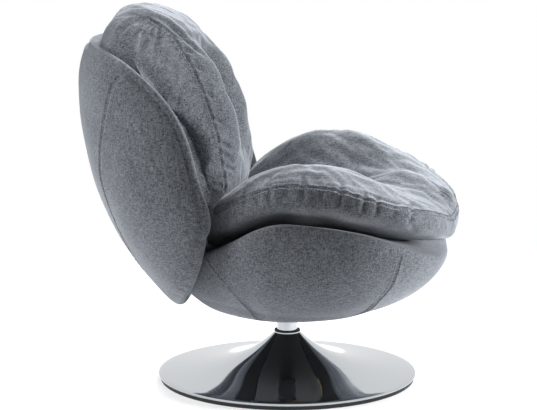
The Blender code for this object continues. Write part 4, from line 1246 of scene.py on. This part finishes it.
def seen_directly(tree):
    """1 for the camera and for what a mirror or glass shows, 0 for light on the object."""
    path = node(tree, "ShaderNodeLightPath")
    first = node(
        tree,
        "ShaderNodeMath",
        {"operation": "MAXIMUM"},
        {0: path.outputs["Is Camera Ray"], 1: path.outputs["Is Glossy Ray"]},
    )
    second = node(
        tree,
        "ShaderNodeMath",
        {"operation": "MAXIMUM"},
        {0: first.outputs[0], 1: path.outputs["Is Transmission Ray"]},
    )
    return second.outputs[0]


def glowing(tree, lit, seen):
    """How strongly a surface glows: lit for the object, seen for the camera and mirrors."""
    strength = node(
        tree, "ShaderNodeMapRange", {"To Min": lit, "To Max": seen}, {"Value": seen_directly(tree)}
    )
    return strength.outputs[0]


def make_room():
    """A pale floor that turns to white further out, and a white room with soft light."""
    white = linear_colour("#FFFFFF")
    world = bpy.data.worlds.new("studio")
    bpy.context.scene.world = world
    world.use_nodes = True
    tree = world.node_tree
    tree.nodes.clear()
    sky = node(
        tree, "ShaderNodeBackground", {"Color": white}, {"Strength": glowing(tree, *ROOM_GLOW)}
    )
    node(tree, "ShaderNodeOutputWorld", links={"Surface": sky.outputs[0]})
    corners = [(x * FLOOR_HALF, y * FLOOR_HALF, 0) for x, y in ((-1, -1), (1, -1), (1, 1), (-1, 1))]
    floor_mesh = mesh_from("floor", corners, [(0, 1, 2, 3)])
    floor = link("floor", floor_mesh)
    floor.location.z = -FLOOR_DROP
    made, tree = new_material("pale_floor")
    paint = node(tree, "ShaderNodeBsdfDiffuse", {"Color": linear_colour("#CFD0D1")})
    glow = node(
        tree, "ShaderNodeEmission", {"Color": white}, {"Strength": glowing(tree, *NEAR_FLOOR_GLOW)}
    )
    near = node(tree, "ShaderNodeAddShader", links={0: paint.outputs[0], 1: glow.outputs[0]})
    far = node(
        tree, "ShaderNodeEmission", {"Color": white}, {"Strength": glowing(tree, *FAR_FLOOR_GLOW)}
    )
    place = node(tree, "ShaderNodeTexCoord")
    distance = node(
        tree, "ShaderNodeVectorMath", {"operation": "LENGTH"}, {0: place.outputs["Object"]}
    )
    share = node(
        tree,
        "ShaderNodeMapRange",
        {"From Min": FLOOR_WHITE_START, "From Max": FLOOR_WHITE_END},
        {"Value": distance.outputs["Value"]},
    )
    both = node(
        tree, "ShaderNodeMixShader", links={0: share.outputs[0], 1: near.outputs[0], 2: far.outputs[0]}
    )
    floor.data.materials.append(finish_material(made, tree, both))


def softbox(name, place, target, size, power):
    data = bpy.data.lights.new(name, "AREA")
    data.shape = "RECTANGLE"
    data.size, data.size_y = size
    data.energy = power
    lamp = link(name, data)
    lamp.location = place
    lamp.visible_camera = False
    lamp.visible_glossy = False
    aim = Vector(target) - Vector(place)
    lamp.rotation_euler = aim.to_track_quat("-Z", "Y").to_euler()


def make_lamps():
    for lamp in LAMPS:
        softbox(*lamp)


def main():
    bpy.context.scene.view_settings.view_transform = "Standard"
    make_camera()
    finishes = make_finishes()
    for part in frame["record"]["subparts"]:
        shown = frame["nodes"][part["node"]]
        shown.data.materials.clear()
        shown.data.materials.append(finishes[part["material_slot"]])
    make_base(finishes)
    cloth = finishes["grey_chenille"]
    thread_finish = thread()
    make_back_shell(cloth, thread_finish)
    make_seat_shell(cloth, thread_finish)
    make_seat_cushion(cloth, thread_finish)
    make_back_cushion(cloth, thread_finish)
    make_room()
    make_lamps()


main()
